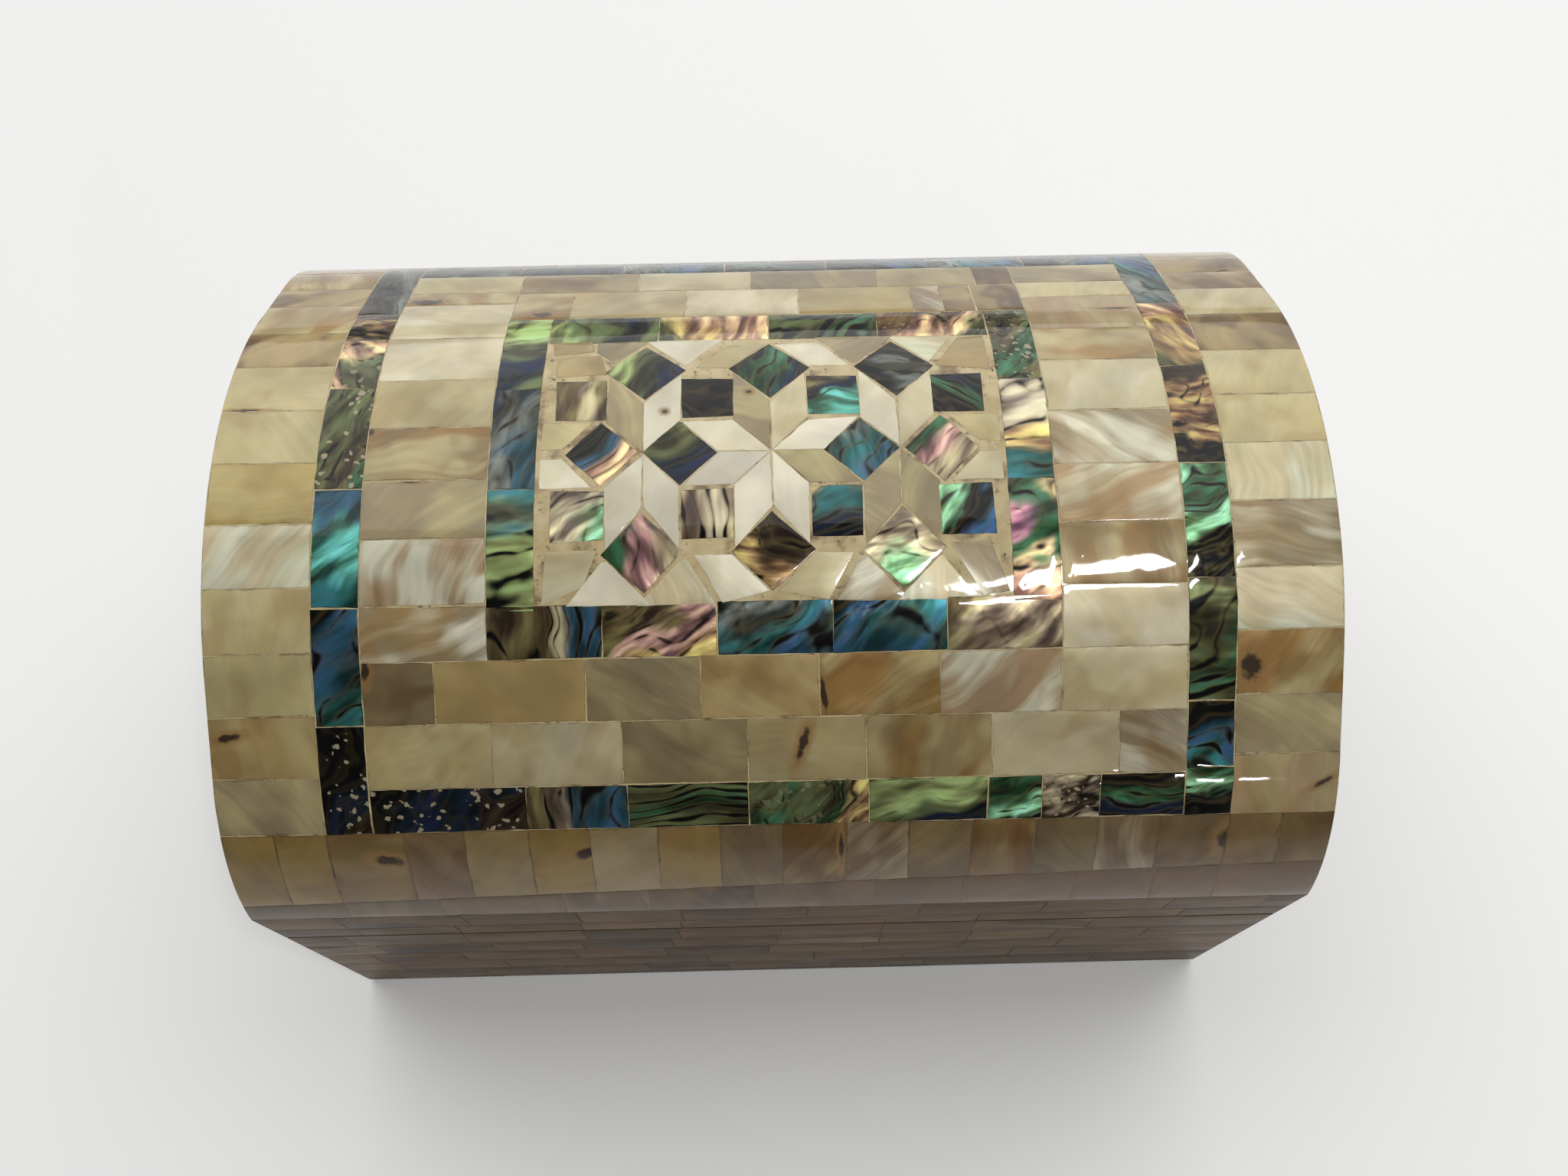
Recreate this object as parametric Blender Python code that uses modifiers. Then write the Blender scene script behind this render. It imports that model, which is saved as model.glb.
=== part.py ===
"""Treasure-chest jewellery box with a domed lift-off lid and a skin of shell mosaic.

Metres, +Z up. The length runs along X, the front faces -Y, and the origin is the middle of
the underside. The dome is one arc over the middle, a straight flank on either side and a
rounded shoulder down to each wall. Places on it are given by x and by the arc length from the
ridge, positive towards the front.
"""

import math

import bmesh
import bpy
from mathutils import Matrix, Vector

# Overall sizes
LENGTH = 0.178
DEPTH = 0.1292
BODY_HEIGHT = 0.0548
LID_WALL_HEIGHT = 0.0176
DOME_RISE = 0.0416
# Slope of the flank over the slope of the chord from the ridge to a wall's top
FLANK_STEEPNESS = 0.976
SHOULDER_RADIUS = 0.04
# Slope of the dome where it meets a wall
EDGE_SLOPE = math.radians(75)

# Wooden case
BODY_WALL = 0.006
FLOOR = 0.005
LIP_WIDTH = 0.002
LIP_HEIGHT = 0.0045
LIP_CLEARANCE = 0.0005
LID_SHELL = 0.004

# Mosaic skin
MOSAIC = 0.002
SHELL_TILE = 0.001
FILLER_JOINT = 0.0006
GAP = 0.0003
SEAM = 0.0007
BASE_LIFT = 0.0008

# Layout of the dome, from its edges to the middle
END_COLUMN = 0.0168
BAND = 0.00755
PEARL_TILE = 0.01975
EDGE_ROW = 0.0203
PEARL_ROW = 0.0102
PEARL_ROWS = 2
LEFT_BAND_TILES = 3
RIGHT_BAND_TILES = 3
BACK_BAND_TILES = 4
FRONT_BAND_TILES = 5

# Star pattern, in edges of a star's rhombus
HALF_DIAGONAL = math.sqrt(0.5)
EDGES_TO_PANEL_SIDE = 4.4
EDGES_TO_PANEL_FRONT = 3.03
INNER_DIAMOND = 1 + HALF_DIAGONAL
OUTER_DIAMOND = 3.2
CORNER_DIAMOND = (1 + 2 * HALF_DIAGONAL, 2.0)
INNER_SQUARE = (0.5 + HALF_DIAGONAL, 1.27)
OUTER_SQUARE = (3.62, 1.27)

# Facets of the arc, from the ridge to a flank, and of a shoulder
ARC_FACETS = 12
SHOULDER_FACETS = 12
WELD = 0.000001

# Worked out from the sizes above
LID_BOTTOM = BODY_HEIGHT + GAP
WALL_TOP = BODY_HEIGHT + LID_WALL_HEIGHT
HEIGHT = WALL_TOP + DOME_RISE
HALF_LENGTH = LENGTH / 2
HALF_DEPTH = DEPTH / 2
SKIN = MOSAIC + GAP
LID_WALL = BODY_WALL - LIP_WIDTH - LIP_CLEARANCE
FLANK_ANGLE = FLANK_STEEPNESS * math.atan2(DOME_RISE, HALF_DEPTH)
# Slope of the plane that halves the corner between the dome and a wall
MITRE = math.pi / 4 - EDGE_SLOPE / 2


def arc_and_flank():
    """Radius of the arc and length of the flank that reach the shoulder."""
    sine = math.sin(FLANK_ANGLE)
    cosine = math.cos(FLANK_ANGLE)
    out = HALF_DEPTH - SHOULDER_RADIUS * (math.sin(EDGE_SLOPE) - sine)
    drop = DOME_RISE - SHOULDER_RADIUS * (cosine - math.cos(EDGE_SLOPE))
    radius = (out * sine - drop * cosine) / (1 - cosine)
    flank = (drop - radius * (1 - cosine)) / sine
    return radius, flank


RADIUS, FLANK = arc_and_flank()
ARC_HALF = RADIUS * FLANK_ANGLE
FLANK_END = ARC_HALF + FLANK
DOME_HALF = FLANK_END + SHOULDER_RADIUS * (EDGE_SLOPE - FLANK_ANGLE)

BAND_OUT_X = HALF_LENGTH - END_COLUMN
BAND_IN_X = BAND_OUT_X - BAND
FRAME_OUT_X = BAND_IN_X - PEARL_TILE
PANEL_X = FRAME_OUT_X - BAND
BAND_OUT_ARC = DOME_HALF - EDGE_ROW
BAND_IN_ARC = BAND_OUT_ARC - BAND
FRAME_OUT_ARC = BAND_IN_ARC - PEARL_ROWS * PEARL_ROW
PANEL_ARC = FRAME_OUT_ARC - BAND
EDGE_X = PANEL_X / EDGES_TO_PANEL_SIDE
EDGE_ARC = PANEL_ARC / EDGES_TO_PANEL_FRONT


def slope(arc):
    """Angle between the dome's skin and the horizontal."""
    bend = max(abs(arc) - FLANK_END, 0.0) / SHOULDER_RADIUS
    return min(abs(arc), ARC_HALF) / RADIUS + bend


def dome_point(x, arc, depth=0.0):
    """Point of the dome's skin, sunk by depth along its normal."""
    side = -1 if arc > 0 else 1
    first = min(abs(arc), ARC_HALF) / RADIUS
    run = min(max(abs(arc) - ARC_HALF, 0.0), FLANK)
    last = slope(arc)
    out = RADIUS * math.sin(first) + run * math.cos(first)
    drop = RADIUS * (1 - math.cos(first)) + run * math.sin(first)
    out += SHOULDER_RADIUS * (math.sin(last) - math.sin(first)) - depth * math.sin(last)
    drop += SHOULDER_RADIUS * (math.cos(first) - math.cos(last)) + depth * math.cos(last)
    return Vector((x, side * out, HEIGHT - drop))


def facet_lines(low, high):
    """Arc lengths from low to high with the dome's own facet lines between them."""
    step = ARC_HALF / ARC_FACETS
    bend = (DOME_HALF - FLANK_END) / SHOULDER_FACETS
    front = [step * number for number in range(1, ARC_FACETS + 1)]
    front += [FLANK_END + bend * number for number in range(SHOULDER_FACETS)]
    inner = [-line for line in reversed(front)] + [0.0] + front
    return [low] + [line for line in inner if low + GAP < line < high - GAP] + [high]


def clear_scene():
    for item in list(bpy.data.objects):
        bpy.data.objects.remove(item)


def new_collection(name):
    home = bpy.data.collections.new(name)
    bpy.context.scene.collection.children.link(home)
    return home


def new_material(name, color, roughness, coat):
    material = bpy.data.materials.new(name)
    material.use_nodes = True
    shader = material.node_tree.nodes["Principled BSDF"]
    shader.inputs["Base Color"].default_value = (*color, 1)
    shader.inputs["Roughness"].default_value = roughness
    shader.inputs["Metallic"].default_value = 0.0
    shader.inputs["Coat Weight"].default_value = coat
    material.diffuse_color = (*color, 1)
    return material


clear_scene()
PARTS = new_collection("mother_of_pearl_box")
CUTTERS = new_collection("cutters")


def finish(name, form, color, roughness, coat):
    """A named part from a bmesh, with a material of its own."""
    mesh = bpy.data.meshes.new(name)
    form.to_mesh(mesh)
    form.free()
    part = bpy.data.objects.new(name, mesh)
    PARTS.objects.link(part)
    mesh.materials.append(new_material(name, color, roughness, coat))
    return part


def wood(name, form):
    return finish(name, form, (0.30, 0.17, 0.08), 0.55, 0.0)


def pearl(name, form):
    return finish(name, form, (0.72, 0.66, 0.50), 0.3, 1.0)


def brown_pearl(name, form):
    return finish(name, form, (0.45, 0.36, 0.22), 0.3, 1.0)


def abalone(name, form):
    return finish(name, form, (0.05, 0.14, 0.15), 0.25, 1.0)


def cutter(name, form):
    """A hidden solid that other parts are cut or joined with."""
    mesh = bpy.data.meshes.new(name)
    form.to_mesh(mesh)
    form.free()
    tool = bpy.data.objects.new(name, mesh)
    tool.hide_render = True
    tool.display_type = "WIRE"
    CUTTERS.objects.link(tool)
    return tool


def combine(part, tool, operation):
    modifier = part.modifiers.new(operation.lower() + "_" + tool.name, "BOOLEAN")
    modifier.operation = operation
    modifier.solver = "EXACT"
    modifier.object = tool


def box(low, high):
    """A bmesh box between two corners."""
    form = bmesh.new()
    bmesh.ops.create_cube(form, size=1)
    low = Vector(low)
    high = Vector(high)
    size = Matrix.Diagonal((*(high - low), 1))
    bmesh.ops.transform(form, matrix=Matrix.Translation((low + high) / 2) @ size, verts=form.verts)
    return form


def prism(outline, low_x, high_x):
    """A bmesh solid with one outline of (y, z) points all along X."""
    curve = bpy.data.curves.new("outline", "CURVE")
    curve.dimensions = "2D"
    curve.fill_mode = "BOTH"
    curve.extrude = (high_x - low_x) / 2
    spline = curve.splines.new("POLY")
    spline.points.add(len(outline) - 1)
    for point, (y, z) in zip(spline.points, outline):
        point.co = (y, z, 0, 1)
    spline.use_cyclic_u = True
    holder = bpy.data.objects.new("outline", curve)
    CUTTERS.objects.link(holder)
    mesh = bpy.data.meshes.new_from_object(holder.evaluated_get(bpy.context.evaluated_depsgraph_get()))
    form = bmesh.new()
    form.from_mesh(mesh)
    bpy.data.objects.remove(holder)
    bpy.data.curves.remove(curve)
    bpy.data.meshes.remove(mesh)
    bmesh.ops.remove_doubles(form, verts=form.verts, dist=WELD)
    upright = Matrix(((0, 0, 1, (low_x + high_x) / 2), (1, 0, 0, 0), (0, 1, 0, 0), (0, 0, 0, 1)))
    bmesh.ops.transform(form, matrix=upright, verts=form.verts)
    bmesh.ops.recalc_face_normals(form, faces=form.faces)
    return form


def lid_outline(wall_inset, dome_inset, bottom):
    """Cross-section of the lid, set in from the walls and from the dome."""
    half = HALF_DEPTH - wall_inset
    arch = [dome_point(0, arc, dome_inset) for arc in facet_lines(-DOME_HALF, DOME_HALF)]
    back = [(point.y, point.z) for point in arch if point.y >= 0]
    inside = [place for place in back if place[0] < half - GAP]
    outside = max(back)
    last = max(inside)
    share = (half - last[0]) / (outside[0] - last[0])
    top = last[1] + share * (outside[1] - last[1])
    right = [(half, bottom), (half, top)] + sorted(inside, reverse=True)
    return right + [(-y, z) for y, z in reversed(right) if y > WELD]


def dome_grid(x_lines, arc_lines):
    """A flat grid on given lines, with the arc length along -Y."""
    form = bmesh.new()
    columns = len(x_lines) - 1
    rows = len(arc_lines) - 1
    bmesh.ops.create_grid(form, x_segments=columns, y_segments=rows, size=1)
    for vertex in form.verts:
        column = round((vertex.co.x + 1) / 2 * columns)
        row = round((1 - vertex.co.y) / 2 * rows)
        vertex.co = (x_lines[column], -arc_lines[row], 0)
    return form


def lay_on_dome(form):
    """Wrap a flat form, whose Y is minus the arc length, over the dome."""
    for vertex in form.verts:
        vertex.co = dome_point(vertex.co.x, -vertex.co.y)


def thicken(part, thickness):
    modifier = part.modifiers.new("thickness", "SOLIDIFY")
    modifier.thickness = thickness
    modifier.offset = -1


def dome_plate(name, finish_as, x_range, arc_range):
    """A plate of the mosaic between two x values and two arc lengths."""
    side = GAP / 2
    x_lines = [x_range[0] + side, x_range[1] - side]
    form = dome_grid(x_lines, facet_lines(arc_range[0] + side, arc_range[1] - side))
    lay_on_dome(form)
    part = finish_as(name, form)
    thicken(part, MOSAIC)
    return part


def dome_ring(name, finish_as, outer, inner):
    """A closed frame of the mosaic: outer and inner are (half width, half arc)."""
    side = GAP / 2
    wide, long = outer[0] - side, outer[1] - side
    hole_wide, hole_long = inner[0] + side, inner[1] + side
    x_lines = [-wide, -hole_wide, hole_wide, wide]
    front = facet_lines(hole_long, long)
    middle = facet_lines(-hole_long, hole_long)
    back = [-line for line in reversed(front)]
    form = dome_grid(x_lines, back + middle[1:-1] + front)
    hole = [
        face for face in form.faces
        if abs(face.calc_center_median().x) < hole_wide and abs(face.calc_center_median().y) < hole_long
    ]
    bmesh.ops.delete(form, geom=hole, context="FACES")
    lay_on_dome(form)
    part = finish_as(name, form)
    thicken(part, MOSAIC)
    return part


def star_turn(diamond, inset):
    """Turn and shrink that make a four-sided ring a star tile of one edge, set in by inset."""
    turn = Matrix.Rotation(0 if diamond else math.pi / 4, 4, "Z")
    return Matrix.Scale(1 - 2 * inset / min(EDGE_X, EDGE_ARC), 4) @ turn


def star_tile(centre, diamond, inset):
    """A sheet for a four-sided tile of the star, its centre in star edges, on its point if diamond."""
    form = bmesh.new()
    bmesh.ops.create_circle(form, cap_ends=True, segments=4, radius=HALF_DIAGONAL)
    size = Matrix.Diagonal((EDGE_X, EDGE_ARC, 1, 1))
    place = Matrix.Translation((centre[0] * EDGE_X, -centre[1] * EDGE_ARC, 0))
    bmesh.ops.transform(form, matrix=place @ size @ star_turn(diamond, inset), verts=form.verts)
    for line in facet_lines(-ARC_HALF, ARC_HALF):
        everything = list(form.verts) + list(form.edges) + list(form.faces)
        bmesh.ops.bisect_plane(form, geom=everything, plane_co=(0, -line, 0), plane_no=(0, 1, 0), dist=WELD)
    bmesh.ops.remove_doubles(form, verts=form.verts, dist=WELD)
    form.normal_update()
    downward = [face for face in form.faces if face.normal.z < 0]
    bmesh.ops.reverse_faces(form, faces=downward)
    lay_on_dome(form)
    return form


def star_pocket(centre, diamond, inset):
    """A four-sided prism square to the dome, deep enough for a tile that follows the dome."""
    sag = EDGE_ARC * EDGE_ARC / 4 / RADIUS
    depth = SHELL_TILE + GAP + sag
    form = bmesh.new()
    reach = HALF_DIAGONAL
    bmesh.ops.create_cone(form, cap_ends=True, segments=4, radius1=reach, radius2=reach, depth=1)
    size = Matrix.Diagonal((EDGE_X, EDGE_ARC, 2 * depth, 1))
    arc = centre[1] * EDGE_ARC
    tilt = Matrix.Rotation(math.copysign(slope(arc), arc), 4, "X")
    place = Matrix.Translation(dome_point(centre[0] * EDGE_X, arc)) @ tilt
    bmesh.ops.transform(form, matrix=place @ size @ star_turn(diamond, inset), verts=form.verts)
    bmesh.ops.recalc_face_normals(form, faces=form.faces)
    return form


def mirrored(centre):
    """The places that mirror one across both middle lines, each once."""
    places = {(side * centre[0], end * centre[1]) for side in (-1, 1) for end in (-1, 1)}
    return sorted(places)


def build_body_case():
    outer = (HALF_LENGTH - SKIN, HALF_DEPTH - SKIN)
    inner = (outer[0] - BODY_WALL, outer[1] - BODY_WALL)
    lip = (inner[0] + LIP_WIDTH, inner[1] + LIP_WIDTH)
    case = wood("body_case", box((-outer[0], -outer[1], 0), (outer[0], outer[1], BODY_HEIGHT)))
    lip_form = box((-lip[0], -lip[1], FLOOR), (lip[0], lip[1], BODY_HEIGHT + LIP_HEIGHT))
    hollow_form = box((-inner[0], -inner[1], FLOOR), (inner[0], inner[1], HEIGHT))
    combine(case, cutter("body_lip", lip_form), "UNION")
    combine(case, cutter("body_hollow", hollow_form), "DIFFERENCE")


def build_lid_case():
    half = HALF_LENGTH - SKIN
    outline = lid_outline(SKIN, SKIN, LID_BOTTOM)
    case = wood("lid_case", prism(outline, -half, half))
    hollow_half = half - LID_WALL
    hollow = lid_outline(SKIN + LID_WALL, SKIN + LID_SHELL, LID_BOTTOM - LID_WALL)
    combine(case, cutter("lid_hollow", prism(hollow, -hollow_half, hollow_half)), "DIFFERENCE")


def build_wall_mosaic():
    """Skins of the body's and the lid's walls; the end skins stand between front and back."""
    body_top = BODY_HEIGHT - SEAM / 2
    lid_bottom = BODY_HEIGHT + SEAM / 2
    end_depth = HALF_DEPTH - SKIN
    top_out = WALL_TOP - GAP / 2 / math.cos(MITRE)
    top_in = top_out - MOSAIC * math.tan(MITRE)
    for side, word in ((-1, "front"), (1, "back")):
        faces = sorted((side * HALF_DEPTH, side * (HALF_DEPTH - MOSAIC)))
        low = (-HALF_LENGTH, faces[0], BASE_LIFT)
        high = (HALF_LENGTH, faces[1], body_top)
        brown_pearl("body_" + word + "_mosaic", box(low, high))
        inner_face = side * (HALF_DEPTH - MOSAIC)
        outer_face = side * HALF_DEPTH
        outline = [
            (outer_face, lid_bottom), (inner_face, lid_bottom), (inner_face, top_in), (outer_face, top_out)
        ]
        brown_pearl("lid_" + word + "_mosaic", prism(outline, -HALF_LENGTH, HALF_LENGTH))
    for side, word in ((-1, "left"), (1, "right")):
        faces = sorted((side * HALF_LENGTH, side * (HALF_LENGTH - MOSAIC)))
        low = (faces[0], -end_depth, BASE_LIFT)
        high = (faces[1], end_depth, body_top)
        brown_pearl("body_" + word + "_mosaic", box(low, high))
        outline = lid_outline(SKIN, SKIN, lid_bottom)
        brown_pearl("lid_" + word + "_mosaic", prism(outline, faces[0], faces[1]))


def mitre_edge_row(part, side):
    """Cut the dome row's outer edge on the mitre plane that the wall's skin meets."""
    inward = Vector((0, side * math.cos(MITRE), -math.sin(MITRE)))
    normal = Vector((0, side * math.sin(MITRE), math.cos(MITRE)))
    corner = Vector((0, -side * HALF_DEPTH, WALL_TOP)) + normal * GAP / 2
    reach = LID_WALL_HEIGHT
    frame = Matrix.Identity(4)
    frame.col[1] = (*inward, 0)
    frame.col[2] = (*normal, 0)
    frame.col[3] = (*(corner - normal * reach / 2), 1)
    form = bmesh.new()
    bmesh.ops.create_cube(form, size=1)
    size = Matrix.Diagonal((2 * LENGTH, reach, reach, 1))
    bmesh.ops.transform(form, matrix=frame @ size, verts=form.verts)
    bmesh.ops.recalc_face_normals(form, faces=form.faces)
    combine(part, cutter(part.name + "_mitre", form), "DIFFERENCE")


def build_dome_mosaic():
    for side, word in ((-1, "back"), (1, "front")):
        edges = sorted((side * (DOME_HALF + GAP / 2), side * BAND_OUT_ARC))
        row = dome_plate("dome_" + word + "_row", pearl, (-BAND_OUT_X, BAND_OUT_X), edges)
        mitre_edge_row(row, side)
    for side, word in ((-1, "left"), (1, "right")):
        edges = sorted((side * (HALF_LENGTH + GAP / 2), side * BAND_OUT_X))
        full = DOME_HALF + GAP / 2
        column = dome_plate("dome_" + word + "_column", pearl, edges, (-full, full))
        mitre_edge_row(column, -1)
        mitre_edge_row(column, 1)
    dome_ring("outer_abalone_band", abalone, (BAND_OUT_X, BAND_OUT_ARC), (BAND_IN_X, BAND_IN_ARC))
    dome_ring("pearl_field", pearl, (BAND_IN_X, BAND_IN_ARC), (FRAME_OUT_X, FRAME_OUT_ARC))


def build_inner_band():
    """Single abalone tiles round the star panel."""
    side_arc = (-FRAME_OUT_ARC, PANEL_ARC)
    strips = (
        ("left", LEFT_BAND_TILES, False, side_arc, (-FRAME_OUT_X, -PANEL_X)),
        ("right", RIGHT_BAND_TILES, False, side_arc, (PANEL_X, FRAME_OUT_X)),
        ("back", BACK_BAND_TILES, True, (-PANEL_X, PANEL_X), (-FRAME_OUT_ARC, -PANEL_ARC)),
        ("front", FRONT_BAND_TILES, True, (-FRAME_OUT_X, FRAME_OUT_X), (PANEL_ARC, FRAME_OUT_ARC)),
    )
    for word, count, along_x, run, across in strips:
        pitch = (run[1] - run[0]) / count
        for number in range(count):
            span = (run[0] + number * pitch, run[0] + (number + 1) * pitch)
            x_range = span if along_x else across
            arc_range = across if along_x else span
            dome_plate("inner_band_" + word + "_" + str(number + 1), abalone, x_range, arc_range)


def build_star_panel():
    panel = dome_plate("star_panel", pearl, (-PANEL_X, PANEL_X), (-PANEL_ARC, PANEL_ARC))
    squares = mirrored(INNER_SQUARE) + mirrored(OUTER_SQUARE)
    diamonds = mirrored((INNER_DIAMOND, 0)) + mirrored((OUTER_DIAMOND, 0))
    diamonds += mirrored((0, CORNER_DIAMOND[1])) + mirrored(CORNER_DIAMOND)
    pocket_inset = (FILLER_JOINT - GAP) / 2 - GAP
    tile_inset = FILLER_JOINT / 2
    for word, places in (("square", squares), ("diamond", diamonds)):
        for number, centre in enumerate(places, start=1):
            name = "star_" + word + "_" + str(number)
            diamond = word == "diamond"
            pocket = cutter(name + "_pocket", star_pocket(centre, diamond, pocket_inset))
            combine(panel, pocket, "DIFFERENCE")
            tile = abalone(name, star_tile(centre, diamond, tile_inset))
            thicken(tile, SHELL_TILE)


build_body_case()
build_lid_case()
build_wall_mosaic()
build_dome_mosaic()
build_inner_band()
build_star_panel()
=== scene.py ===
"""Looks of a treasure-chest jewellery box with a skin of shell mosaic.

Metres, +Z up, front towards -Y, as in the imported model. A place on the dome is given by x and
by the arc length from the ridge, positive towards the front. Layouts are in millimetres, and
every tile is a plate of its own in a bed of filler.
"""

import math
import random

import bpy
from mathutils import Matrix, Vector, noise


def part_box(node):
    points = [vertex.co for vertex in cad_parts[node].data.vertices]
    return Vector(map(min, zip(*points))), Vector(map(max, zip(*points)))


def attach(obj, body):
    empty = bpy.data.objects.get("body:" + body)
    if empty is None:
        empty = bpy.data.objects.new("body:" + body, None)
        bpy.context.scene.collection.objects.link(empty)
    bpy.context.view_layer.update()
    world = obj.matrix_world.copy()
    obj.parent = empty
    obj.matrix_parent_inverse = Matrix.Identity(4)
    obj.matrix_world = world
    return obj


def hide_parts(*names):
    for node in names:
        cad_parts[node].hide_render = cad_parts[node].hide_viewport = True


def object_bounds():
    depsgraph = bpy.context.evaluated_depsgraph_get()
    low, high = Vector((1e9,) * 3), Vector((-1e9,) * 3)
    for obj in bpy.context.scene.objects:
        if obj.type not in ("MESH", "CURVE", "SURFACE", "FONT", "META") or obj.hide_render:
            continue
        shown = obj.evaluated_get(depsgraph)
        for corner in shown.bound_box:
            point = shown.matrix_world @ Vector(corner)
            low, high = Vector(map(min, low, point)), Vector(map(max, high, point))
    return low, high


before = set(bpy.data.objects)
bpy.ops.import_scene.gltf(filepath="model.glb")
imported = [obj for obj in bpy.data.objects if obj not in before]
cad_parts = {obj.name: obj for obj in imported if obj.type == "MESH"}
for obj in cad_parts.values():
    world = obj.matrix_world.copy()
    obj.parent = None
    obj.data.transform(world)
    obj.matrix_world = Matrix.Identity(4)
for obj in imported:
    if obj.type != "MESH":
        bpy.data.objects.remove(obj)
CAD_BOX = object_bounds()

# Without a seed of its own this noise would differ from run to run
NOISE_SEED = 1
noise.seed_set(NOISE_SEED)

MM = 0.001

# Form of the box in millimetres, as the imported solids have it
HALF_LENGTH = CAD_BOX[1].x / MM
HALF_DEPTH = CAD_BOX[1].y / MM
HEIGHT = CAD_BOX[1].z / MM
BODY_HEIGHT = 54.8
LID_WALL_HEIGHT = 17.6
FLANK_STEEPNESS = 0.976
SHOULDER_RADIUS = 40.0
EDGE_SLOPE = math.radians(75)
MOSAIC = 2.0
GAP = 0.3
SEAM = 0.7
BASE_LIFT = 0.8

WALL_TOP = BODY_HEIGHT + LID_WALL_HEIGHT
DOME_RISE = HEIGHT - WALL_TOP
FLANK_ANGLE = FLANK_STEEPNESS * math.atan2(DOME_RISE, HALF_DEPTH)
# Share of the depth by which a skin's edge leans at the corner between the dome and a wall
MITRE = math.tan(math.pi / 4 - EDGE_SLOPE / 2)

# Tiles and filler, with the depths of a plate's top, of its top's rim and of its underside
JOINT = 0.16
TILE_DEPTHS = (0.03, 0.045, 0.9)
BED_DEPTHS = (0.06, 0.06, MOSAIC)
CHAMFER = 0.12
DOME_STEP = 1.7
WALL_STEP = 4.0
ROW = 10.2
# How far a tile's corners may lie off, how far its edges waver, and how much its top may slant
LOOSE = 0.12
EDGE_ROW_LOOSE = 0.15
STAR_LOOSE = 0.2
ABALONE_LOOSE = 0.24
WAVER = 0.12
SLAB_WAVER = 0.06
WAVER_SCALE = 0.7
TILT = 0.02
# Half the range of the streaks' direction on the walls: in degrees, and in radians for the lid's ends
WALL_TURN = 14
SLAB_TURN = 0.3
# Place in the rim's measure of a plate that has no worn rim
FAR_FROM_RIM = (2.0, 2.0, 0.0)


def arc_and_flank():
    """Radius of the arc and length of the flank that reach the shoulder."""
    sine = math.sin(FLANK_ANGLE)
    cosine = math.cos(FLANK_ANGLE)
    out = HALF_DEPTH - SHOULDER_RADIUS * (math.sin(EDGE_SLOPE) - sine)
    drop = DOME_RISE - SHOULDER_RADIUS * (cosine - math.cos(EDGE_SLOPE))
    radius = (out * sine - drop * cosine) / (1 - cosine)
    flank = (drop - radius * (1 - cosine)) / sine
    return radius, flank


RADIUS, FLANK = arc_and_flank()
ARC_HALF = RADIUS * FLANK_ANGLE
FLANK_END = ARC_HALF + FLANK
DOME_HALF = FLANK_END + SHOULDER_RADIUS * (EDGE_SLOPE - FLANK_ANGLE)


def on_dome(x, arc, depth):
    """Point sunk by depth under the dome's skin: an arc, a straight flank and a shoulder."""
    side = -1 if arc > 0 else 1
    first = min(abs(arc), ARC_HALF) / RADIUS
    run = min(max(abs(arc) - ARC_HALF, 0.0), FLANK)
    last = first + max(abs(arc) - FLANK_END, 0.0) / SHOULDER_RADIUS
    out = RADIUS * math.sin(first) + run * math.cos(first)
    drop = RADIUS * (1 - math.cos(first)) + run * math.sin(first)
    out += SHOULDER_RADIUS * (math.sin(last) - math.sin(first)) - depth * math.sin(last)
    drop += SHOULDER_RADIUS * (math.cos(first) - math.cos(last)) + depth * math.cos(last)
    return Vector((x, side * out, HEIGHT - drop))


def arc_at(y):
    """Arc length of the place on the dome that has this y."""
    low, high = -DOME_HALF, DOME_HALF
    while high - low > 0.001:
        middle = (low + high) / 2
        if on_dome(0, middle, 0).y > y:
            low = middle
        else:
            high = middle
    return low


def on_front(u, v, depth):
    """Point of the front wall: u to the right, v down from the top of the box."""
    return Vector((u, depth - HALF_DEPTH, HEIGHT - v))


def on_back(u, v, depth):
    return Vector((-u, HALF_DEPTH - depth, HEIGHT - v))


def on_left(u, v, depth):
    return Vector((depth - HALF_LENGTH, -u, HEIGHT - v))


def on_right(u, v, depth):
    return Vector((HALF_LENGTH - depth, u, HEIGHT - v))


def spans(node):
    """Lowest and highest x and arc of a packed plate of the dome, to the middle of its joints."""
    low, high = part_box(node)
    side = GAP / 2
    x_span = (low.x / MM - side, high.x / MM + side)
    arc_span = (arc_at(high.y / MM) - side, arc_at(low.y / MM) + side)
    return x_span, arc_span


def paint(red, green, blue):
    """A linear colour from a display colour of 0 to 255."""
    return tuple((channel / 255) ** 2.2 for channel in (red, green, blue)) + (1.0,)


# Colours of the shell
COLORS = {
    "white": paint(248, 244, 234),
    "ivory": paint(228, 219, 190),
    "cream": paint(211, 198, 156),
    "straw": paint(205, 185, 122),
    "sand": paint(188, 165, 118),
    "ochre": paint(170, 134, 78),
    "pink": paint(192, 168, 138),
    "grey": paint(166, 153, 126),
    "smoke": paint(146, 130, 100),
    "tan": paint(138, 106, 64),
    "brown": paint(92, 66, 36),
    "dark": paint(44, 33, 22),
    "black": paint(14, 13, 12),
    "navy": paint(16, 30, 48),
    "blue": paint(30, 74, 96),
    "teal": paint(30, 98, 96),
    "turquoise": paint(74, 168, 150),
    "green": paint(44, 88, 56),
    "moss": paint(78, 84, 50),
    "leaf": paint(142, 160, 92),
    "gold": paint(184, 152, 84),
    "olive": paint(94, 82, 48),
    "mint": paint(136, 208, 150),
    "rose": paint(190, 142, 130),
    "magenta": paint(160, 104, 124),
    "peach": paint(206, 164, 118),
    "slate": paint(96, 102, 96),
}

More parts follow.
